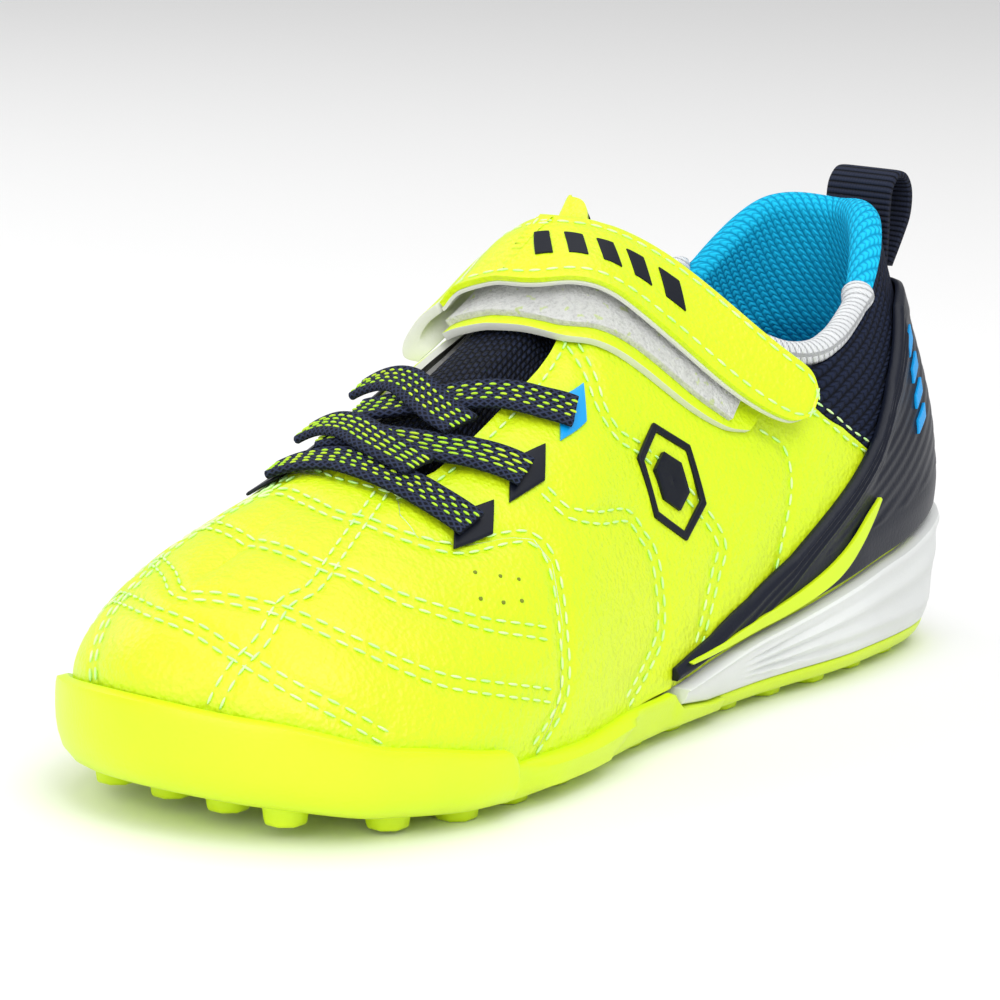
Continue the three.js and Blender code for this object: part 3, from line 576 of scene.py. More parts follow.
        # Painted light: the raised ribs get a much lighter copy of the colour (painted highlight) and the grooves
        # between them a darker copy (painted shade).
        light = tuple(c * 2.2 + 0.008 for c in color)
        tone = shade.mix(height.between(0.2, 0.9), tuple(c * 0.4 for c in color), light)
        return shade.paint(tone, None, height + shade.noise(2500, 2) * 0.15, 0.4)

    def fleecy(self, name, color, fleck):
        shade = Finish(name, color, 0.95, {"Sheen Weight": 0.3, "Specular IOR Level": 0.1})
        fibre = shade.noise(1400, 5, 0.7)
        patch = shade.noise(520, 2).between(0.62, 0.7)
        tone = shade.mix(fibre.between(0.25, 0.6), tuple(c * 0.72 for c in color), color)
        return shade.paint(shade.mix(patch * 0.5, tone, fleck), None, fibre + shade.noise(420, 3), 1.2)


# ---- repeats made by geometry nodes ---------------------------------------------------------
def wire(tree, *links):
    """Joins nodes: from node, its output, to node, its input."""
    for giver, output, taker, entry in links:
        tree.links.new(giver.outputs[output], taker.inputs[entry])


def repeat_tree(name, build):
    """A node group with Geometry in and out and the size sockets that its builder adds."""
    tree = bpy.data.node_groups.new(name, "GeometryNodeTree")
    face = tree.interface
    face.new_socket("Geometry", in_out="INPUT", socket_type="NodeSocketGeometry")
    face.new_socket("Geometry", in_out="OUTPUT", socket_type="NodeSocketGeometry")
    face.new_socket("Finish", in_out="INPUT", socket_type="NodeSocketMaterial")
    for size in ("Pitch", "Length", "Width", "Height"):
        face.new_socket(size, in_out="INPUT", socket_type="NodeSocketFloat")
    start = tree.nodes.new("NodeGroupInput")
    end = tree.nodes.new("NodeGroupOutput")
    shape = build(tree, start)
    real = tree.nodes.new("GeometryNodeRealizeInstances")
    smooth = tree.nodes.new("GeometryNodeSetShadeSmooth")
    paint = tree.nodes.new("GeometryNodeSetMaterial")
    tree.links.new(shape, real.inputs["Geometry"])
    wire(tree, (real, "Geometry", smooth, "Geometry"), (smooth, "Geometry", paint, "Geometry"),
         (start, "Finish", paint, "Material"), (paint, "Geometry", end, "Geometry"))
    return tree


def dashes(tree, start):
    """Short threads laid along curves, one each pitch."""
    spots = tree.nodes.new("GeometryNodeCurveToPoints")
    spots.mode = "LENGTH"
    bead = tree.nodes.new("GeometryNodeMeshUVSphere")
    bead.inputs["Segments"].default_value = 7
    bead.inputs["Rings"].default_value = 6
    bead.inputs["Radius"].default_value = 0.5
    size = tree.nodes.new("ShaderNodeCombineXYZ")
    lay = tree.nodes.new("GeometryNodeInstanceOnPoints")
    wire(tree, (start, "Geometry", spots, "Curve"), (start, "Pitch", spots, "Length"), (start, "Width", size, "X"),
         (start, "Height", size, "Y"), (start, "Length", size, "Z"), (spots, "Points", lay, "Points"),
         (spots, "Rotation", lay, "Rotation"), (size, "Vector", lay, "Scale"), (bead, "Mesh", lay, "Instance"))
    return lay.outputs["Instances"]


def nubs(tree, start):
    """Tapered studs on points, their flat ends at the points."""
    block = tree.nodes.new("GeometryNodeMeshCone")
    block.inputs["Vertices"].default_value = 8
    block.inputs["Side Segments"].default_value = 3
    lay = tree.nodes.new("GeometryNodeInstanceOnPoints")
    turn = tree.nodes.new("ShaderNodeCombineXYZ")
    turn.inputs["Z"].default_value = math.radians(22.5)
    wire(tree, (start, "Width", block, "Radius Bottom"), (start, "Length", block, "Radius Top"),
         (start, "Height", block, "Depth"), (start, "Geometry", lay, "Points"), (block, "Mesh", lay, "Instance"),
         (turn, "Vector", lay, "Rotation"))
    return lay.outputs["Instances"]


def repeat(name, tree, source, material, **sizes):
    """Runs a tree on a curve or a set of points, and returns the result as a plain mesh."""
    rig = source.modifiers.new("repeat", "NODES")
    rig.node_group = tree
    sockets = {s.name: s.identifier for s in tree.interface.items_tree if s.in_out == "INPUT"}
    rig[sockets["Finish"]] = material
    for size, value in sizes.items():
        rig[sockets[size]] = value / 1000
    bpy.context.view_layer.update()
    graph = bpy.context.evaluated_depsgraph_get()
    mesh = bpy.data.meshes.new_from_object(source.evaluated_get(graph), depsgraph=graph)
    if not len(mesh.polygons):
        raise RuntimeError(f"{name} came out empty")
    made = show(name, mesh)
    mesh.name = name
    bpy.data.objects.remove(source)
    return made


def threads(name, paths, material, pitch, length, width):
    """Dashes along several paths given as points in mm."""
    data = bpy.data.curves.new(name + " path", "CURVE")
    data.dimensions = "3D"
    for path in paths:
        if len(path) < 2:
            continue
        spline = data.splines.new("POLY")
        spline.points.add(len(path) - 1)
        spots = np.concatenate([(np.asarray(path) + SHIFT) / 1000, np.ones((len(path), 1))], 1)
        spline.points.foreach_set("co", spots.ravel())
    source = show(name + " path", data)
    return repeat(name, kit["dashes"], source, material, Pitch=pitch, Length=length, Width=width, Height=width)


kit = {}


# ---- sizes and colours ----------------------------------------------------------------------
def length(name, description, default):
    return FloatProperty(name=name, description=description, default=default / 1000, unit="LENGTH", precision=5)


def colour(name, description, default):
    return FloatVectorProperty(name=name, description=description, default=default, subtype="COLOR", size=3,
                               min=0, max=1)


class TurfShoeSizes(bpy.types.PropertyGroup):
    stitch_pitch: length("Stitch pitch", "Distance between stitches", 2.9)
    stitch_length: length("Stitch length", "Length of one stitch", 2.15)
    stitch_width: length("Stitch width", "Thickness of the thread", 0.47)
    stitch_pair: length("Double row", "Distance between the rows of a double seam", 2.1)
    groove: length("Seam groove", "How deep a seam sinks into the leather", 0.5)
    lace_width: length("Lace width", "Width of the flat elastic lace", 7.0)
    lace_height: length("Lace thickness", "Thickness of the lace", 1.7)
    stud_width: length("Stud width", "Width of a stud at the plate", 8.2)
    stud_height: length("Stud height", "Height of a stud", 4.0)
    webbing: length("Webbing width", "Width of the pull loop", 14.0)


class TurfShoeColours(bpy.types.PropertyGroup):
    lime: colour("Lime", "Leather of the upper", (0.68, 0.9, 0.006))
    rubber: colour("Lime rubber", "Outsole and toe bumper", (0.7, 0.92, 0.008))
    white: colour("White", "Midsole", (0.78, 0.8, 0.79))
    navy: colour("Navy", "Knit and overlay", (0.004, 0.0065, 0.017))
    # Painted highlight: the lighter navy that the raised yarns of the collar knit and the tongue weave get.
    navy_highlight: colour("Light navy", "Raised yarns of the navy knit", (0.016, 0.024, 0.058))
    blue: colour("Blue", "Collar lining", (0.0, 0.32, 0.6))
    # Painted highlight: the lighter blue of the lining's raised loops, set against the painted shade of its grooves.
    blue_highlight: colour("Light blue", "Raised yarns of the lining", (0.014, 0.62, 0.97))
    binding: colour("Binding", "Knit binding of the topline", (0.8, 0.82, 0.84))
    lace: colour("Lace", "Yarn of the laces", (0.006, 0.009, 0.022))
    dash: colour("Lace marks", "Marking threads of the laces", (0.55, 0.78, 0.02))
    thread: colour("Thread", "Stitching of the upper", (0.74, 1.0, 0.44))
    film: colour("Dark film", "Dark marks and eyelets", (0.004, 0.006, 0.013))
    patch: colour("Blue film", "Top eyelet and heel marks", (0.0, 0.36, 0.85))


class Piece:
    """Shared part of the operators: sizes in mm, finishes and the last."""

    bl_options = {"REGISTER"}

    def execute(self, context):
        sizes = context.scene.turf_sizes
        self.mm = {key: getattr(sizes, key) * 1000 for key in sizes.__annotations__}
        self.last = kit["last"]
        self.paints = kit["paints"]
        self.build()
        return {"FINISHED"}


# ---- upper ----------------------------------------------------------------------------------
TOE_LINES = [
    [(9.4, 0.76), (9.3, 0.895), (6.78, 0.86), (6.59, 0.76), (6.37, 0.66), (6.04, 0.57), (5.64, 0.525),
     (5.43, 0.485), (5.26, 0.415), (5.13, 0.28), (5.07, 0.14), (5.3, 0.04)],
    [(9.15, 0.70), (8.61, 0.97), (7.16, 0.77), (6.97, 0.665), (6.78, 0.605), (6.54, 0.52), (6.28, 0.455),
     (5.85, 0.375), (5.34, 0.295)],
    [(8.98, 0.57), (8.5, 0.69), (8.0, 0.725), (7.6, 0.655), (7.24, 0.535), (6.8, 0.4), (6.18, 0.27), (5.25, 0.16)],
    [(8.91, 0.425), (8.18, 0.565), (7.67, 0.485), (7.44, 0.37), (7.12, 0.24), (6.81, 0.17), (6.61, 0.125)],
]
LATERAL_LINES = [
    [(6.42, 0.815), (6.81, 0.71), (7.04, 0.60), (7.21, 0.56), (7.32, 0.425), (7.43, 0.32), (7.51, 0.185),
     (7.56, 0.06)],
    [(5.25, 0.54), (5.07, 0.48), (4.7, 0.42), (4.29, 0.37), (4.11, 0.32), (4.02, 0.29), (3.96, 0.23),
     (3.97, 0.125), (4.28, 0.03)],
    [(4.73, 0.78), (4.58, 0.655), (4.49, 0.575), (4.30, 0.505), (4.03, 0.46), (3.7, 0.4), (3.40, 0.305),
     (3.42, 0.22), (3.45, 0.17), (3.54, 0.07)],
]
SINGLE_LINES = [
    [(3.17, 0.64), (3.01, 0.615), (2.87, 0.475), (2.83, 0.265), (2.86, 0.085)],
    [(9.43, 0.765), (9.75, 0.775), (6.52, 0.955), (6.29, 0.77)],
    [(6.29, 0.77), (6.0, 0.75), (5.6, 0.75), (5.2, 0.755), (4.75, 0.775), (4.3, 0.81), (3.9, 0.84)],
]
COLLAR_LINE = [(3.25, 0.83), (2.95, 0.79), (2.6, 0.7), (2.3, 0.575), (2.05, 0.47), (1.84, 0.37)]


def seam_paths(last, pair):
    """Every sewn line of the upper as (points, directions), double seams as two rows."""
    other = [mirrored("medial", line) for line in LATERAL_LINES]
    toe_other = [mirrored("medial", TOE_LINES[0][4:]),
                 [(10.15, 0.31), (9.75, 0.42), (9.35, 0.57), (9.15, 0.70)],
                 [(10.2, 0.17), (9.6, 0.28), (9.2, 0.42), (8.98, 0.57)],
                 [(9.4, 0.13), (9.15, 0.26), (8.91, 0.425)]]
    found = []
    for line in TOE_LINES + LATERAL_LINES + other + toe_other:
        for side in (-pair / 2, pair / 2):
            found.append(last.line(line, 0.0, side))
    singles = SINGLE_LINES + [mirrored("medial", SINGLE_LINES[0])]
    found += [last.line(line) for line in singles]
    for line in (COLLAR_LINE, mirrored("medial", COLLAR_LINE)):
        found += [last.line(line, 0.0, side) for side in (0.0, pair)]
    return found


class TURF_OT_upper(Piece, bpy.types.Operator):
    """Lime leather panels with sunk seams, stitches, and a dark bead of painted shade at each vent hole."""

    bl_idname = "turf.upper"
    bl_label = "Leather upper"

    def panel(self, name, u0, u1, rows, seams):
        """One leather panel; u0 and u1 are functions of t."""
        t = np.linspace(0, 1, rows)[None, :]
        f = np.linspace(0, 1, int(44 * abs(u1(0.3) - u0(0.3))) + 1)[:, None]
        u = u0(t) * (1 - f) + u1(t) * f
        t = np.minimum(np.broadcast_to(t, u.shape), level(LIME_EDGE, lateral_of(u)))
        net = form(u, t)
        tree = KDTree(len(seams))
        for i, spot in enumerate(seams):
            tree.insert(Vector(spot), i)
        tree.balance()
        gap = np.array([tree.find(Vector(p))[2] for p in net.reshape(-1, 3)]).reshape(u.shape)
        puff = 0.28 * (1 - np.exp(-(gap / 5.5)**2))
        high = puff - 0.1 - self.mm["groove"] * np.exp(-(gap / 1.15)**2)
        ridge = (t >= 1 - 1e-9) & (lateral_of(u) > 6.4)
        panel = shell(name, skin(u, t, high), skin(u, t, high - 1.1), [self.paints.leather, self.paints.edge],
                      open_edge=ridge, bevel=0.35)
        return settle(panel, "shoe", [name], "lime_leather")

    def build(self):
        paths = seam_paths(self.last, self.mm["stitch_pair"])
        seams = np.concatenate([spots[::2] for spots, _ in paths])
        seam = lambda t: level(SEAM_EDGE, t)
        self.panel("vamp", seam, lambda t: ROUND - level(SEAM_EDGE, t), 90, seams)
        back = lambda t: 1.4 + 0 * t
        self.panel("quarter_lateral", back, lambda t: seam(t) - 0.004, 84, seams)
        self.panel("quarter_medial", lambda t: 16.004 - seam(t), lambda t: 14.6 + 0 * t, 84, seams)
        sunk = 0.12 - self.mm["groove"] * 0.7
        rows = [spots + ups * sunk for spots, ups in paths]
        made = threads("upper_stitches", rows, self.paints.thread, self.mm["stitch_pitch"], self.mm["stitch_length"],
                       self.mm["stitch_width"])
        settle(made, "shoe", (), "lime_leather")
        self.vents()

    def vents(self):
        spots = [(5.93, 0.495), (5.74, 0.46), (5.59, 0.43), (5.91, 0.435), (5.73, 0.405), (5.57, 0.385)]
        spots += mirrored("medial", spots)
        paths = []
        for u, t in spots:
            at = skin(u, t, 0.02)
            paths.append(np.array([at, at + np.array([0.01, 0, 0])]))
        # Each vent hole is a dark bead of painted shade, the shadow inside the hole.
        hole_shadows = threads("vent_hole_shadows", paths, self.paints.hole, 1.0, 0.75, 0.75)
        settle(hole_shadows, "shoe")


LINING_DEPTH = 3.7  # lining's outer face inside the last, mm
PAD = 2.4  # extra depth of the padded upper part, mm
TURN_AT = 0.72  # share of the lining's height where it starts to round over the rim


class TURF_OT_collar(Piece, bpy.types.Operator):
    """Knit collar, padded blue lining, pale binding and the rolled heel lip."""

    bl_idname = "turf.collar"
    bl_label = "Collar and linings"

    def band(self, name, u0, u1, low, high, inner, outer, material, slot):
        u = np.linspace(u0, u1, int(30 * abs(u1 - u0)) + 1)[:, None]
        f = np.linspace(0, 1, 50)[None, :]
        u = np.broadcast_to(u, (u.shape[0], 50))
        t = low(u) * (1 - f) + high(u) * f
        piece = shell(name, skin(u, t, outer(u, t)), skin(u, t, inner(u, t)), [material], bevel=0.25)
        settle(piece, "shoe", [name], slot)

    def roll(self, name, u0, u1, depth, radius, material, slot):
        u = np.linspace(u0, u1, 90)
        spots = skin(u, level(RIM_EDGE, lateral_of(u)) + 0.032 - 0.3 * (depth + 2) / 75, depth)
        n = side_normal(u, 0.98 + 0 * u)
        side, up = frames(spots, n)
        turn = np.linspace(0, 2 * math.pi, 20, endpoint=False)
        swell = np.clip(np.minimum(np.linspace(0, 30, 90), np.linspace(18, 0, 90)), 0, 1)
        swell = np.sqrt(1 - (1 - np.clip(swell, 0.04, 1))**2)
        swell = swell * (1 + 0.35 * blend_in(np.linspace(0, 1, 90), 0.88, 0.96))
        ring = np.stack([np.cos(turn), np.sin(turn)], -1)
        rings = spots[:, None] + radius * swell[:, None, None] * (
            up[:, None] * ring[None, :, :1] + side[:, None] * ring[None, :, 1:])
        settle(loft(name, rings, [material]), "shoe", [name], slot)

    def padded_lining(self):
        """Terry lining that swells over the foam and rounds over the top edge."""
        u = np.linspace(-3.487, 3.487, 260)[:, None]
        f = np.linspace(0, 1, 56)[None, :]
        rim = level(RIM_EDGE, lateral_of(u))
        swell = 2.3 + 0.9 * (1 - blend_in(lateral_of(u), 1.2, 2.2))
        bend = rim - 0.55 * swell / 75
        nets = []
        for skin_in, size in ((0.0, swell), (0.9, swell - 0.9)):
            wall = np.clip(f / TURN_AT, 0, 1)
            t = 0.03 + (bend - 0.03) * wall
            pad = PAD * blend_in(t, 0.42, 0.62)
            turn = np.clip((f - TURN_AT) / (1 - TURN_AT), 0, 1) * math.pi * 0.93
            edge = np.where(f > TURN_AT, 1.0, 0.0)
            h_wall = -LINING_DEPTH - pad + skin_in
            centre = -LINING_DEPTH - PAD + swell
            t = t + edge * size * np.sin(turn) / 72
            h = h_wall * (1 - edge) + edge * (centre - size * np.cos(turn))
            nets.append(skin(np.broadcast_to(u, t.shape), t, h))
        lining = shell("collar_lining", nets[0], nets[1], [self.paints.lining], bevel=0.25)
        settle(lining, "shoe", ["collar_lining", "collar_lip"], "blue_lining")

    def build(self):
        paints = self.paints
        lime = lambda u: level(LIME_EDGE, lateral_of(u))
        rim = lambda u: level(RIM_EDGE, lateral_of(u))
        low = lambda u: np.where(lateral_of(u) < 1.4, 0.12, lime(u) + 0.004)
        flat = lambda h: (lambda u, t: h + 0 * u)
        self.band("collar_mesh", -3.5, 3.5, low, lambda u: rim(u) - 0.012, flat(-1.3), flat(-0.25),
                  paints.mesh, "navy_mesh")
        self.band("collar_foam", -3.45, 3.45, lambda u: 0.42 + 0 * u, lambda u: rim(u) - 0.045,
                  lambda u, t: -2.8 - 2.1 * blend_in(t, 0.42, 0.62), flat(-2.6), paints.sponge, "yellow_foam")
        self.padded_lining()
        self.roll("topline_roll_lateral", 3.5, 1.72, -2.0, 2.3, paints.roll, "light_knit")
        self.roll("topline_roll_medial", 12.5, 14.3, -0.9, 1.7, paints.roll, "light_knit")
        for node, material in {
            "heel_counter": paints.sheet, "toe_puff": paints.sheet,
            "vamp_lining": paints.grey, "quarter_lining_lateral": paints.grey, "quarter_lining_medial": paints.grey,
            "vamp_backing_lateral": paints.backing, "vamp_backing_medial": paints.backing,
            "quarter_backing_lateral": paints.backing, "quarter_backing_medial": paints.backing,
            "lasting_board": paints.board,
        }.items():
            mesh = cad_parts[node].data
            mesh.materials.clear()
            mesh.materials.append(material)


class TURF_OT_heel(Piece, bpy.types.Operator):
    """Moulded navy heel overlay with its ridges, lime strips and small bars."""

    bl_idname = "turf.heel"
    bl_label = "Heel overlay"

    def build(self):
        paints = self.paints
        edge = lambda u: level(OVERLAY_EDGE, lateral_of(u))
        u = np.linspace(-3.84, 3.84, 360)[:, None]
        f = np.linspace(0, 1, 80)[None, :]
        t = 0.02 + (edge(u) - 0.02) * f
        u = np.broadcast_to(u, t.shape)
        gap = (edge(u) - t) * 78 * np.where(lateral_of(u) < 1.31, 1, 0.62)
        ribs = sum(0.34 * np.exp(-((gap - at) / 0.5)**2) for at in (1.6, 3.2, 4.8))
        ribs = ribs * blend_in(lateral_of(u), 1.0, 1.4)
        body = 1.5 * blend_in(gap, -0.8, 1.0) * blend_in((t - 0.02) * 78, -1.0, 1.2)
        hollow = 0.45 * blend_in(gap, 6, 9) * blend_in(t, 0.1, 0.22) * blend_in(3.0 - lateral_of(u), 0, 0.6)
        dents = 0.22 * np.sin((t * 78 + lateral_of(u) * 16) * 2 * math.pi / 9)**2 * (hollow > 0.2)
        high = 0.3 + np.clip(body, 0.35, 2) + ribs - hollow + dents * 0.6
        piece = shell("heel_overlay", skin(u, t, high), skin(u, t, 0.25), [paints.overlay], bevel=0.2)
        settle(piece, "shoe", ["heel_overlay"], "navy_overlay")
        self.strips()

    def strips(self):
        low = [(3.72, 0.045), (3.3, 0.03), (2.8, 0.03), (2.45, 0.045), (2.27, 0.075), (2.14, 0.13), (2.03, 0.2),
               (1.95, 0.26)]
        high = [(3.74, 0.052), (3.3, 0.052), (2.8, 0.075), (2.5, 0.105), (2.32, 0.14), (2.2, 0.18), (2.08, 0.235),
                (1.97, 0.272)]
        for side in ("lateral", "medial"):
            net = fill_net(mirrored(side, low), mirrored(side, high), 60, 8)
            lift = 1.75 - 0.25 * blend_in(np.abs(net[..., 0] - 8), 5.2, 4.2)
            name = "heel_accent_" + side
            strip = sheet(name, net, lift, lift + 0.75, [self.paints.print], bevel=0.15)
            settle(strip, "shoe", [name], "lime_accent")
        net = fill_net([(-0.13, 0.42), (0.13, 0.42)], [(-0.07, 0.66), (0.07, 0.66)], 12, 16)
        bar = sheet("heel_accent_rear", net, 1.4, 2.6, [self.paints.print], bevel=0.25)
        settle(bar, "shoe", ["heel_accent_rear"], "lime_accent")
        for side in ("lateral", "medial"):
            for k in range(4):
                t0 = 0.36 + 0.085 * k
                base = [(1.42 - 0.02 * k, t0), (1.27 - 0.02 * k, t0 + 0.02)]
                tip = [(1.40 - 0.02 * k, t0 + 0.045), (1.25 - 0.02 * k, t0 + 0.065)]
                net = fill_net(mirrored(side, base), mirrored(side, tip), 6, 6)
                mark = sheet(f"heel_mark_{side}_{k + 1}", net, 1.2, 1.95, [self.paints.patch], bevel=0.12)
                settle(mark, "shoe", (), "blue_patch")


# ---- soles ----------------------------------------------------------------------------------
def sole_rings(rows, sides, low, high, columns=12):
    """Section rings of a sole: sides holds (offset, height share) up the wall for each row."""
    rings = []
    for k, u in enumerate(rows):
        offsets, shares = sides(u)
        both = []
        for turn in (u, ROUND - u):
            x = feather(turn)[0]
            z0, z1 = low(x, u), high(x, u)
            wall = np.array([outline(turn, o, z0 + (z1 - z0) * s) for o, s in zip(offsets, shares)])
            both.append(wall)
        left, right = both
        f = np.linspace(0, 1, columns + 1)[1:-1, None]
        under = right[0] * (1 - f) + left[0] * f
        cover = left[-1] * (1 - f) + right[-1] * f
        rings.append(np.concatenate([left, cover, right[::-1], under]))
    return np.array(rings)


PLATE_LOW = 2.3  # underside of the forefoot plate, mm
HEEL_PLATE = 1.9, 5.0  # underside and top of the heel plate, mm
WEDGE_LOW, WEDGE_SLOPE = 5.3, 0.13  # underside of the wedge, and its rise ahead of the arch
STUD_STEP = 13  # from row to row, mm
STUD_INSET = 6.2  # from the outline to the outer studs, mm
STUD_REACH = 2.8  # how far a stud's foot lies under the plate's underside, mm


def under_height(x):
    return PLATE_LOW + profile(PLATE_UNDER, x)


def wedge_under(x):
    return WEDGE_LOW + np.maximum(0, x + 12) * WEDGE_SLOPE


class TURF_OT_soles(Piece, bpy.types.Operator):
    """Rubber outsoles with toe bumper and studs, white wedge midsole, footbed."""

    bl_idname = "turf.soles"
    bl_label = "Soles"

    def forefoot(self):
        rows = np.concatenate([np.linspace(3.36, 3.84, 9), np.linspace(3.86, 5.56, 50), np.linspace(5.58, 5.7, 9),
                               np.linspace(5.72, 7.6, 70), np.linspace(7.62, 8, 26)])
        grow = np.array([0, 0.06, 0.2, 0.36, 0.5, 0.64, 0.78, 0.9, 0.97, 1.0])
        plain = np.array([-0.6, 0.5, 0.9, 1.1, 1.3, 1.5, 1.7, 1.8, 1.6, 0.9])
        bumper = np.array([-0.6, 0.9, 2.5, 3.2, 3.5, 3.6, 3.6, 3.5, 3.3, 2.2])

        def sides(u):
            w = blend_in(u, 5.6, 5.66)
            facet = 1.5 * blend_in(u, 4.62 - 0.4 * grow, 4.7 - 0.4 * grow) * (1 - blend_in(u, 5.1, 5.6))
            shape = blend_in(grow, 0.05, 0.2) * (1 - blend_in(grow, 0.8, 0.98))
            return plain * (1 - w) + bumper * w + facet * shape * (1 - w), grow

        def top(x, u):
            joint = blend_in(u, 3.8, 3.88)
            rise = 3.2 * blend_in(u, 5.6, 5.72)
            wall = profile(FEATHER, x) - 0.2 + rise + 0.9 * blend_in(u, 3.95, 4.4)
            return (wedge_under(x) - 0.3) * (1 - joint) + wall * joint

        rings = sole_rings(rows, sides, lambda x, u: under_height(x), top)
        for k, u in enumerate(rows):
            # the cover dips under the upper, so that only the wall shows
            n = len(grow)
            joint = blend_in(u, 3.8, 3.95)
            rings[k, n:n + 11, 2] -= 3.4 * joint + 3.0 * blend_in(u, 5.6, 5.72)
            for wall, turn in ((rings[k, n - 1], u), (rings[k, n + 11], ROUND - u)):
                wall -= outward(turn) * 0.55 * joint
        sole = loft("outsole_forefoot", rings, [self.paints.rubber], bevel=0.5)
        return settle(sole, "shoe", ["outsole_forefoot"], "lime_rubber")

    def heel(self):
        rows = np.concatenate([np.linspace(0, 0.5, 20), np.linspace(0.53, 3.35, 84)])
        share = np.array([0, 0.12, 0.35, 0.65, 0.9, 1.0])
        sides = lambda u: (np.array([-1.6, -0.6, 0.0, 0.5, 0.75, 0.6]), share)
        rings = sole_rings(rows, sides, lambda x, u: HEEL_PLATE[0], lambda x, u: HEEL_PLATE[1])
        sole = loft("outsole_heel", rings, [self.paints.rubber], bevel=0.3)
        return settle(sole, "shoe", ["outsole_heel"], "lime_rubber")

    def studs(self):
        """Rows of studs, spread over the width of the sole."""
        wall = np.linspace(0, 8, 400)
        left, right = outline(wall, -STUD_INSET, 0.0), outline(ROUND - wall, -STUD_INSET, 0.0)
        places = {"forefoot_studs": ([-8 + STUD_STEP * k for k in range(8)], 4),
                  "heel_studs": ([-91 + STUD_STEP * k for k in range(6)], 3)}
        for name, (xs, count) in places.items():
            spots = []
            for x in xs:
                ends = [side[np.argmin(np.abs(side[:, 0] - x))][1] for side in (left, right)]
                foot = max(0.0, float(under_height(x)) - STUD_REACH)
                spots += [(x, y, foot) for y in np.linspace(*ends, count)]
            mesh = bpy.data.meshes.new(name + " places")
            mesh.from_pydata((np.array(spots) + SHIFT) / 1000, [], [])
            source = show(name + " places", mesh)
            wide = self.mm["stud_width"] / 2
            made = repeat(name, kit["nubs"], source, self.paints.rubber, Width=wide - 0.6, Length=wide,
                          Height=self.mm["stud_height"])
            round_edges(made, 0.7, 3, 50)
            settle(made, "shoe", (), "lime_rubber")

    def midsole(self):
        rows = np.concatenate([np.linspace(0, 0.5, 26), np.linspace(0.52, 3.8, 150)])
        share = np.linspace(0, 1, 22)

        def sides(u):
            lift = blend_in(share, 0.0, 0.08)
            lip = 0.5 * np.exp(-((share - 0.95) / 0.05)**2)
            fan = np.sin((share - 0.55) / (0.25 + 0.35 * max(0.0, 3.4 - u)) * 14)
            window = blend_in(u, 0.9, 1.3) * (1 - blend_in(u, 2.9, 3.3))
            flute = 0.5 * fan * window * blend_in(share, 0.1, 0.2) * (1 - blend_in(share, 0.72, 0.86))
            bulge = 0.9 * np.sin(share * math.pi)
            return 0.9 + 0.4 * lift + 1.5 * share + lip + flute + bulge * 0.5, share

        rings = sole_rings(rows, sides, lambda x, u: wedge_under(x), lambda x, u: profile(FEATHER, x) - 0.3)
        sole = loft("midsole", rings, [self.paints.foam], bevel=0.5)
        return settle(sole, "shoe", ["midsole"], "white_foam")

    def footbed(self):
        rows = np.linspace(0, 8, 140)
        share = np.array([0, 0.15, 0.5, 0.85, 1])
        sides = lambda u: (np.array([-4.9, -4.7, -4.6, -4.8, -5.4]), share)
        rings = sole_rings(rows, sides, lambda x, u: profile(FEATHER, x) + 1.9,
                           lambda x, u: profile(FEATHER, x) + 5.2)
        bed = loft("insole", rings, [self.paints.footbed], bevel=0.3)
        return settle(bed, "shoe", ["insole"], "insole_textile")

    def build(self):
        self.forefoot()
        self.heel()
        self.studs()
        self.midsole()
        self.footbed()


# ---- tongue ---------------------------------------------------------------------------------
def tongue_point(r, v, depth):
    """Point of the tongue: it follows the last, arches under the strap and runs straight on."""
    q = np.maximum(r, 4.5)
    near = blend_in(-q, -5, -4.65)
    width = 0.27 - np.where(v < 0, 0.15, 0.06) * near
    tuck = np.maximum(blend_in(np.abs(v), 0.3, 0.64), blend_in(r, 6.0, 6.25))
    crown, left, right = over(q, 0 * v, -3.3), over(q, width, -6.0), over(q, -width, -6.0)
    v1 = v[..., None]
    arch = crown + (left - right) * v1 / 2 + ((left + right) / 2 - crown) * v1**2
    ridge = over(q, 0 * v, 1.0) - over(q, 0 * v, 0.0)
    own = over(q, v * width, 1.0) - over(q, v * width, 0.0)
    k = 0.6 * near[..., None]
    inward = own * (1 - k) + ridge * k
    inward /= np.linalg.norm(inward, axis=-1, keepdims=True)
    middle = (left + right) / 2
    n = near[..., None]
    base = over(q, v * width, -1 - 3.2 * tuck) * (1 - n) + arch * n - inward * np.asarray(depth)[..., None]
    rise = form(4.5, 1.0) - form(4.7, 1.0) - 0.02 * (base - middle)
    step = ((q - r) / 0.2)[..., None]
    level_out = (crown - arch)[..., 2] - 1.2 * v**2
    base[..., 2] += level_out * np.clip(step[..., 0] * 0.27, 0, 1)
    return base + rise * step


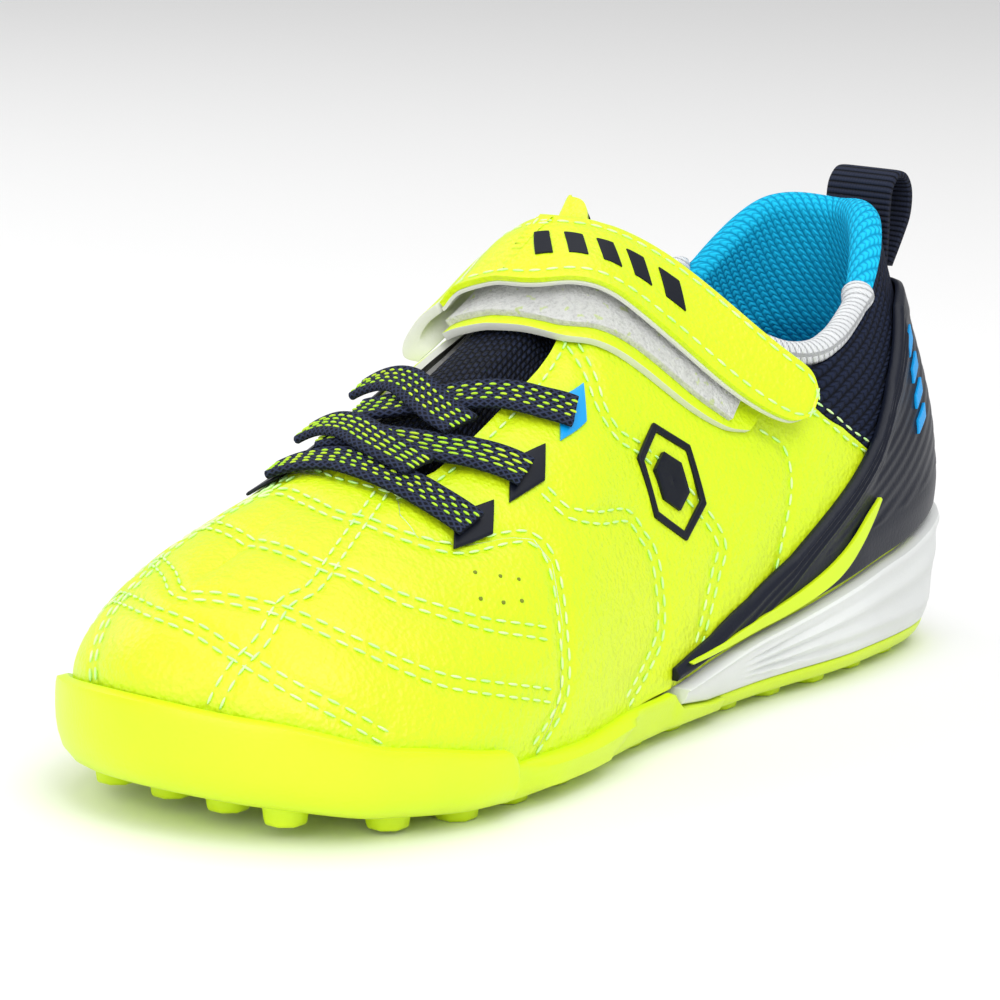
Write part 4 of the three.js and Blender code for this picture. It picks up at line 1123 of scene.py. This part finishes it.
class TURF_OT_tongue(Piece, bpy.types.Operator):
    """Padded tongue: navy weave, foam, grey lining and the lime tip."""

    bl_idname = "turf.tongue"
    bl_label = "Tongue"

    def layer(self, name, r0, r1, top, low, reach, material, slot, bevel=0.3):
        v = np.linspace(-reach, reach, 51)[None, :]
        f = np.linspace(0, 1, 110)[:, None]
        rounded = r1 + 0.3 * np.abs(v / reach)**4
        r = r0 + (rounded - r0) * f
        r, v = np.broadcast_arrays(r, v)
        puff = 0.35 * np.cos(np.clip(v, -1, 1) * math.pi / 2)
        high = tongue_point(r, v, top(v) - puff)
        piece = shell(name, high, tongue_point(r, v, low(v) - puff), [material], bevel=bevel)
        return settle(piece, "tongue", [name], slot)

    def build(self):
        paints = self.paints
        soft = lambda v: 3.0 * (1 - 0.5 * v**2)
        self.layer("tongue_mesh", 6.6, 3.75, lambda v: 0 * v, lambda v: 1 + 0 * v, 1.0, paints.tongue, "navy_mesh")
        foam = self.layer("tongue_foam", 6.58, 3.78, lambda v: 1.25 + 0 * v, lambda v: 1.3 + soft(v), 0.98,
                          paints.sponge, "yellow_foam", 0.8)
        self.layer("tongue_lining", 6.6, 3.75, lambda v: 1.6 + soft(v), lambda v: 2.4 + soft(v), 1.0, paints.grey,
                   "grey_textile")
        self.layer("tongue_tip", 4.1, 3.72, lambda v: -1.5 + 0 * v, lambda v: -0.3 + 0 * v, 0.85, paints.strap,
                   "lime_leather", 0.5)


# ---- laces ----------------------------------------------------------------------------------
LOW, HIGH = 1.1, 2.7  # underside of the bars and of the laces that cross them, mm
LACES = {
    "lace_top_bar": [(4.95, 0.36, LOW), (5.2, 0.29, LOW), (5.45, 0.19, LOW), (5.68, 0.09, LOW), (5.82, 0, LOW),
                     (5.84, -0.1, LOW), (5.77, -0.18, LOW)],
    "lace_middle_bar": [(5.45, 0.39, LOW), (5.72, 0.28, LOW), (5.95, 0.18, LOW), (6.1, 0.08, LOW), (6.15, 0, LOW),
                        (6.12, -0.1, LOW), (6.06, -0.18, LOW)],
    "lace_front_bar": [(5.92, 0.41, LOW), (6.15, 0.29, LOW), (6.34, 0.15, LOW), (6.42, 0.02, LOW),
                       (6.4, -0.12, LOW), (6.3, -0.25, LOW)],
    "lace_top_cross": [(5.48, -0.26, HIGH), (5.6, -0.15, HIGH), (5.74, 0, HIGH), (5.8, 0.12, HIGH),
                       (5.76, 0.2, HIGH)],
    "lace_middle_cross": [(5.86, -0.28, HIGH), (5.97, -0.19, HIGH), (6.12, -0.08, HIGH), (6.22, 0.03, HIGH),
                          (6.22, 0.13, HIGH), (6.14, 0.22, HIGH)],
}
EYELETS = {
    "eyelet_top_lateral": (4.93, 0.355, "patch"), "eyelet_middle_lateral": (5.43, 0.385, "film"),
    "eyelet_front_lateral": (5.9, 0.405, "film"), "eyelet_top_medial": (5.45, -0.28, "film"),
    "eyelet_middle_medial": (5.84, -0.3, "film"), "eyelet_front_medial": (6.28, -0.26, "film"),
}


class TURF_OT_laces(Piece, bpy.types.Operator):
    """Flat elastic laces with corded edges and lime marks, and the eyelet films."""

    bl_idname = "turf.laces"
    bl_label = "Laces"

    def lace(self, name, path):
        s = np.linspace(0, 1, 90)
        r, a, lift = along(path, s).T
        u, t = across(r, a)
        spots = skin(u, t, lift + 0.55)
        side, up = frames(spots, normal(u, t))
        half, tall = self.mm["lace_width"] / 2, self.mm["lace_height"] / 2
        flat, rise = oblong(40, half, tall, 0.55, 0.5)
        cord = 0.62 + 0.38 * np.exp(-((np.abs(flat) - half + 0.75) / 0.62)**2)
        section = np.stack([flat, rise * cord], -1)
        piece = sweep(name, spots, side, up, section, [self.paints.lace, self.paints.cord])
        settle(piece, "shoe", [name], "navy_cord")
        rows = []
        for k, place in enumerate((-1.75, -0.6, 0.6, 1.75)):
            first = 2 + (k % 2) * 3
            rows.append((spots + side * place + up * (tall * 0.66))[first:-2])
        return rows

    def build(self):
        long, short = [], []
        for name, path in LACES.items():
            rows = self.lace(name, path)
            (short if name in ("lace_top_bar", "lace_top_cross", "lace_front_bar") else long).extend(rows)
        settle(threads("lace_marks_short", short, self.paints.dash, 2.3, 1.25, 0.5), "shoe", (), "navy_cord")
        settle(threads("lace_marks_long", long, self.paints.dash, 2.4, 1.8, 0.5), "shoe", (), "navy_cord")
        for name, (r, a, kind) in EYELETS.items():
            way = 1 if a > 0 else -1
            low = [(r - 0.2, a - way * 0.02), (r + 0.1, a - way * 0.05)]
            high = [(r - 0.14, a + way * 0.045), (r + 0.17, a + way * 0.03)]
            net = fill_net(low, high, 14, 10)
            film = sheet(name, net, 0.12, 0.75, [getattr(self.paints, kind)], over, bevel=0.3)
            settle(film, "shoe", [name], "blue_patch" if kind == "patch" else "navy_patch")


# ---- strap ----------------------------------------------------------------------------------
STRAP_LOW = [(3.0, 0.28), (3.14, 0.335), (3.44, 0.36), (3.75, 0.345), (4.1, 0.3), (4.5, 0.2), (4.85, 0.08),
             (4.95, -0.05), (4.95, -0.175)]
STRAP_HIGH = [(2.95, 0.2), (3.02, 0.11), (3.3, 0.07), (3.6, 0.07), (3.9, 0.085), (4.14, 0.07), (4.24, 0),
              (4.22, -0.09), (4.16, -0.175)]
BASE_LOW = [(3.3, 0.4), (3.45, 0.43), (3.7, 0.43), (4.07, 0.385), (4.46, 0.31), (4.85, 0.2), (5.1, 0.06),
            (5.16, -0.06), (5.1, -0.165)]
BASE_HIGH = [(3.24, 0.34), (3.28, 0.22), (3.5, 0.13), (3.75, 0.1), (4.0, 0.1), (4.2, 0.07), (4.28, 0),
             (4.26, -0.09), (4.2, -0.165)]


def inset(a, b, share):
    return [tuple(np.array(p) + (np.array(q) - np.array(p)) * share) for p, q in zip(a, b)]


def strap_lift(s, share):
    """How far the strap rises over the laces at s along it, in mm."""
    return 1.3 * blend_in(s, 0.35, 0.7) * (1 - blend_in(s, 0.93, 1.0)) * share


class TURF_OT_strap(Piece, bpy.types.Operator):
    """Hook-and-loop strap: base, tapes, flap with its marks and stitches, and the bend at the slot."""

    bl_idname = "turf.strap"
    bl_label = "Strap"

    def strip(self, name, net, low, high, materials, body, nodes, slot, bevel=0.35):
        settle(sheet(name, net, low, high, materials, over, bevel=bevel), body, nodes, slot)

    def build(self):
        paints = self.paints
        base = fill_net(BASE_LOW, BASE_HIGH, 120, 30)
        self.strip("strap_base", base, 0.3, 1.8, [paints.strap, paints.edge], "shoe", ["strap_base"], "lime_leather")
        tape = fill_net(inset(BASE_LOW, BASE_HIGH, 0.08)[1:], inset(BASE_HIGH, BASE_LOW, 0.1)[1:], 120, 30)
        self.strip("loop_tape", tape, 1.85, 3.1, [paints.loops], "shoe", ["loop_tape"], "white_tape", 0.5)
        hook = fill_net(inset(STRAP_LOW, STRAP_HIGH, 0.14)[1:5], inset(STRAP_HIGH, STRAP_LOW, 0.14)[1:5], 60, 20)
        self.strip("hook_tape", hook, 3.3, 4.2, [paints.hooks], "strap", ["hook_tape"], "white_tape", 0.3)

        flap = fill_net(STRAP_LOW, STRAP_HIGH, 160, 36)
        f = np.linspace(0, 1, 37)[None, :]
        s = np.linspace(0, 1, 161)[:, None]
        arch = strap_lift(s, 1 - f)
        edge = np.minimum(np.minimum(f, 1 - f) * 18, s * 60)
        sunk = 0.25 * np.exp(-((edge - 2.2) / 0.9)**2)
        self.strip("strap_flap", flap, 5.0 + arch, 6.1 + arch - sunk, [paints.strap, paints.strap], "strap",
                   ["strap_flap"], "lime_leather")
        rim = fill_net(inset(STRAP_LOW, STRAP_HIGH, -0.018), inset(STRAP_HIGH, STRAP_LOW, -0.01), 160, 36)
        self.strip("strap_backing", rim, 4.3 + arch, 4.95 + arch, [paints.edge], "strap", (), "white_tape", 0.25)
        self.stitches()
        self.marks()
        self.bend()

    def stitches(self):
        share = 0.12
        low = inset(STRAP_LOW, STRAP_HIGH, share)
        high = inset(STRAP_HIGH, STRAP_LOW, share)
        s = np.linspace(0.02, 0.995, 150)
        rows = []
        for curve, side in ((low, 1 - share), (high, share)):
            r, a = along(curve, s).T
            rows.append(over(r, a, 6.0 + strap_lift(s, side)))
        f = np.linspace(0.12, 0.88, 20)
        end = along(STRAP_LOW, np.array(0.025)) * (1 - f[:, None]) + along(STRAP_HIGH, np.array(0.025)) * f[:, None]
        rows.append(over(end[:, 0], end[:, 1], 6.0))
        made = threads("strap_stitches", rows, self.paints.thread, self.mm["stitch_pitch"],
                       self.mm["stitch_length"], self.mm["stitch_width"])
        settle(made, "strap", (), "lime_leather")

    def marks(self):
        """A row of plain slanted bars on the strap."""
        for k in range(5):
            s = 0.37 + 0.075 * k
            low = along(STRAP_LOW, np.array([s, s + 0.042]))
            high = along(STRAP_HIGH, np.array([s + 0.035, s + 0.077]))
            first = low * 0.68 + high * 0.32
            last = low * 0.36 + high * 0.64
            net = fill_net(first, last, 12, 24)
            f = np.linspace(0.32, 0.64, 25)[None, :]
            lift = 6.1 + strap_lift(s, 1 - f)
            bar = sheet(f"strap_mark_{k + 1}", net, lift - 0.3, lift + 0.35, [self.paints.film], over, bevel=0.15)
            settle(bar, "strap", (), "navy_patch")

    def bend(self):
        """The strap turns round at the slot on the inner side."""
        outer = [(-0.187, 6.1), (-0.235, 5.9), (-0.285, 4.6), (-0.305, 2.6), (-0.292, 0.3)]
        inner = [(-0.187, 4.3), (-0.222, 4.2), (-0.252, 3.4), (-0.262, 2.2), (-0.255, 0.3)]
        f = np.linspace(0, 1, 20)[None, :]
        r = 4.95 * (1 - f) + 4.16 * f
        faces = []
        for curve in (outer, inner):
            a, h = along(curve, np.linspace(0, 1, 40)).T
            faces.append(over(np.broadcast_to(r, (40, 20)), np.broadcast_to(a[:, None], (40, 20)), h[:, None]))
        piece = shell("strap_fold", *faces, [self.paints.strap, self.paints.edge, self.paints.edge], bevel=0.3)
        settle(piece, "shoe", ["strap_fold"], "lime_leather")


# ---- trim -----------------------------------------------------------------------------------
class TURF_OT_trim(Piece, bpy.types.Operator):
    """Webbing pull loop and the plain mark on each quarter."""

    bl_idname = "turf.trim"
    bl_label = "Pull loop and side marks"

    def pull_loop(self):
        path = [(-98.0, 68.2), (-98.3, 74), (-98.4, 79), (-99, 82.8), (-101.2, 85), (-103.9, 84.6), (-105.7, 81.8),
                (-105.5, 77.5), (-103.4, 73.6), (-99.9, 68.4)]
        s = np.linspace(0, 1, 90)
        x, z = along(path, s).T
        spots = np.stack([x, 3 + 0 * x, z], -1)
        tangent = np.gradient(spots, axis=0)
        up = np.cross(np.broadcast_to([0.0, 1.0, 0.0], tangent.shape), tangent)
        up /= np.linalg.norm(up, axis=-1, keepdims=True)
        side = np.broadcast_to([0.0, 1.0, 0.0], up.shape)
        section = np.stack(oblong(28, self.mm["webbing"] / 2, 0.8, 0.25, 0.4), -1)
        loop = sweep("pull_loop", spots, side, up, section, [self.paints.webbing])
        settle(loop, "loop", ["pull_loop"], "navy_webbing")

    def hexagon(self, name, where, size, hole, material):
        """A raised six-sided film on the quarter, with or without a hole."""
        at, up = self.last.drop([skin(*where)])
        up = up[0]
        right = np.cross([0.0, 0.0, 1.0], up)
        right /= np.linalg.norm(right)
        over_it = np.cross(up, right)
        turn = np.linspace(0, 2 * math.pi, 97)
        reach = np.cos(math.pi / 6) / np.cos((turn + math.pi / 6) % (math.pi / 3) - math.pi / 6)
        rings = []
        for k in np.linspace(hole, 1, 4):
            spots = at[0] + size * k * (reach * np.cos(turn))[:, None] * right * 0.8 \
                + size * k * (reach * np.sin(turn))[:, None] * over_it
            rings.append(self.last.drop(spots)[0])
        net = np.stack(rings, 1)
        ups = self.last.drop(net.reshape(-1, 3))[1].reshape(net.shape)
        mark = shell(name, net + ups * 0.6, net - ups * 0.2, [material], ring=True, bevel=0.2)
        return settle(mark, "shoe", (), "navy_patch")

    def build(self):
        self.pull_loop()
        for side, where in (("lateral", (3.82, 0.41)), ("medial", (12.18, 0.41))):
            self.hexagon("side_ring_" + side, where, 10.5, 0.84, self.paints.film)
            self.hexagon("side_core_" + side, where, 5.2, 0.02, self.paints.film)


# ---- stage ----------------------------------------------------------------------------------
LIGHTS = {  # place in m, size in m, power in W
    "key": ((0.5, 0.9, 1.1), 0.9, 9.5),
    "front": ((1.2, 0.2, 0.5), 0.9, 4.6),
    "fill": ((0.2, -1.0, 0.7), 1.0, 4.2),
    "top": ((-0.1, 0.1, 1.3), 1.2, 5.5),
}
LIGHT_TARGET = (0, 0, 0.03)
WORLD_STRENGTH = 0.55
CAMERA_ANGLES = (37.32, 12.46, -1.18)  # azimuth, elevation and roll in degrees
CAMERA_AWAY, CAMERA_AIM = 0.7, 0.035  # distance, and height of the point aimed at, in m


class TURF_OT_stage(Piece, bpy.types.Operator):
    """Floor, soft lights, world and the camera."""

    bl_idname = "turf.stage"
    bl_label = "Studio stage"

    def light(self, name, where, size, power):
        data = bpy.data.lights.new(name, "AREA")
        data.size = size
        data.energy = power
        lamp = show(name, data)
        lamp.location = where
        lamp.rotation_euler = (Vector(LIGHT_TARGET) - Vector(where)).to_track_quat("-Z", "Y").to_euler()

    def build(self):
        scene = bpy.context.scene
        mesh = bpy.data.meshes.new("floor")
        body = bmesh.new()
        bmesh.ops.create_grid(body, x_segments=2, y_segments=2, size=6)
        body.to_mesh(mesh)
        body.free()
        floor = show("floor", mesh)
        paper = Finish("floor paper", (0.9, 0.9, 0.9), 0.9)
        mesh.materials.append(paper.material)
        for name, (where, size, power) in LIGHTS.items():
            self.light(name, where, size, power)
        world = bpy.data.worlds.new("studio")
        world.use_nodes = True
        sky = world.node_tree.nodes["Background"].inputs
        sky["Color"].default_value = (1, 1, 1, 1)
        sky["Strength"].default_value = WORLD_STRENGTH
        scene.world = world
        scene.view_settings.view_transform = "Standard"
        self.camera()

    def camera(self):
        azimuth, elevation, roll = (math.radians(a) for a in CAMERA_ANGLES)
        back = Vector((math.cos(azimuth) * math.cos(elevation), math.sin(azimuth) * math.cos(elevation),
                       math.sin(elevation)))
        data = bpy.data.cameras.new("camera")
        data.lens = 146.54
        data.sensor_width = 36
        data.shift_x = -0.0216
        data.shift_y = 0.0150
        data.clip_start = 0.05
        data.clip_end = 50
        eye = show("camera", data)
        target = Vector(SHIFT / 1000) + Vector((0, 0, CAMERA_AIM))
        eye.location = target + back * CAMERA_AWAY
        turn = (-back).to_track_quat("-Z", "Y")
        eye.rotation_mode = "QUATERNION"
        eye.rotation_quaternion = Quaternion(-back, roll) @ turn
        bpy.context.scene.camera = eye


STEPS = (TURF_OT_stage, TURF_OT_upper, TURF_OT_collar, TURF_OT_heel, TURF_OT_soles, TURF_OT_tongue, TURF_OT_laces,
         TURF_OT_strap, TURF_OT_trim)


class TURF_PT_panel(bpy.types.Panel):
    bl_idname = "TURF_PT_panel"
    bl_label = "Turf shoe"
    bl_space_type = "VIEW_3D"
    bl_region_type = "UI"
    bl_category = "Turf shoe"

    def draw(self, context):
        for group in (context.scene.turf_sizes, context.scene.turf_colours):
            box = self.layout.box()
            for key in group.__annotations__:
                box.prop(group, key)
        for step in STEPS:
            self.layout.operator(step.bl_idname)


CLASSES = (TurfShoeSizes, TurfShoeColours, *STEPS, TURF_PT_panel)


def register():
    for cls in CLASSES:
        bpy.utils.register_class(cls)
    bpy.types.Scene.turf_sizes = PointerProperty(type=TurfShoeSizes)
    bpy.types.Scene.turf_colours = PointerProperty(type=TurfShoeColours)


def unregister():
    del bpy.types.Scene.turf_sizes
    del bpy.types.Scene.turf_colours
    for cls in reversed(CLASSES):
        bpy.utils.unregister_class(cls)


def main():
    register()
    kit["last"] = Last()
    kit["paints"] = Paints(bpy.context.scene.turf_colours)
    kit["dashes"] = repeat_tree("dashes along a path", dashes)
    kit["nubs"] = repeat_tree("nubs on points", nubs)
    for step in STEPS:
        getattr(bpy.ops.turf, step.bl_idname.removeprefix("turf."))()


if __name__ == "__main__":
    main()
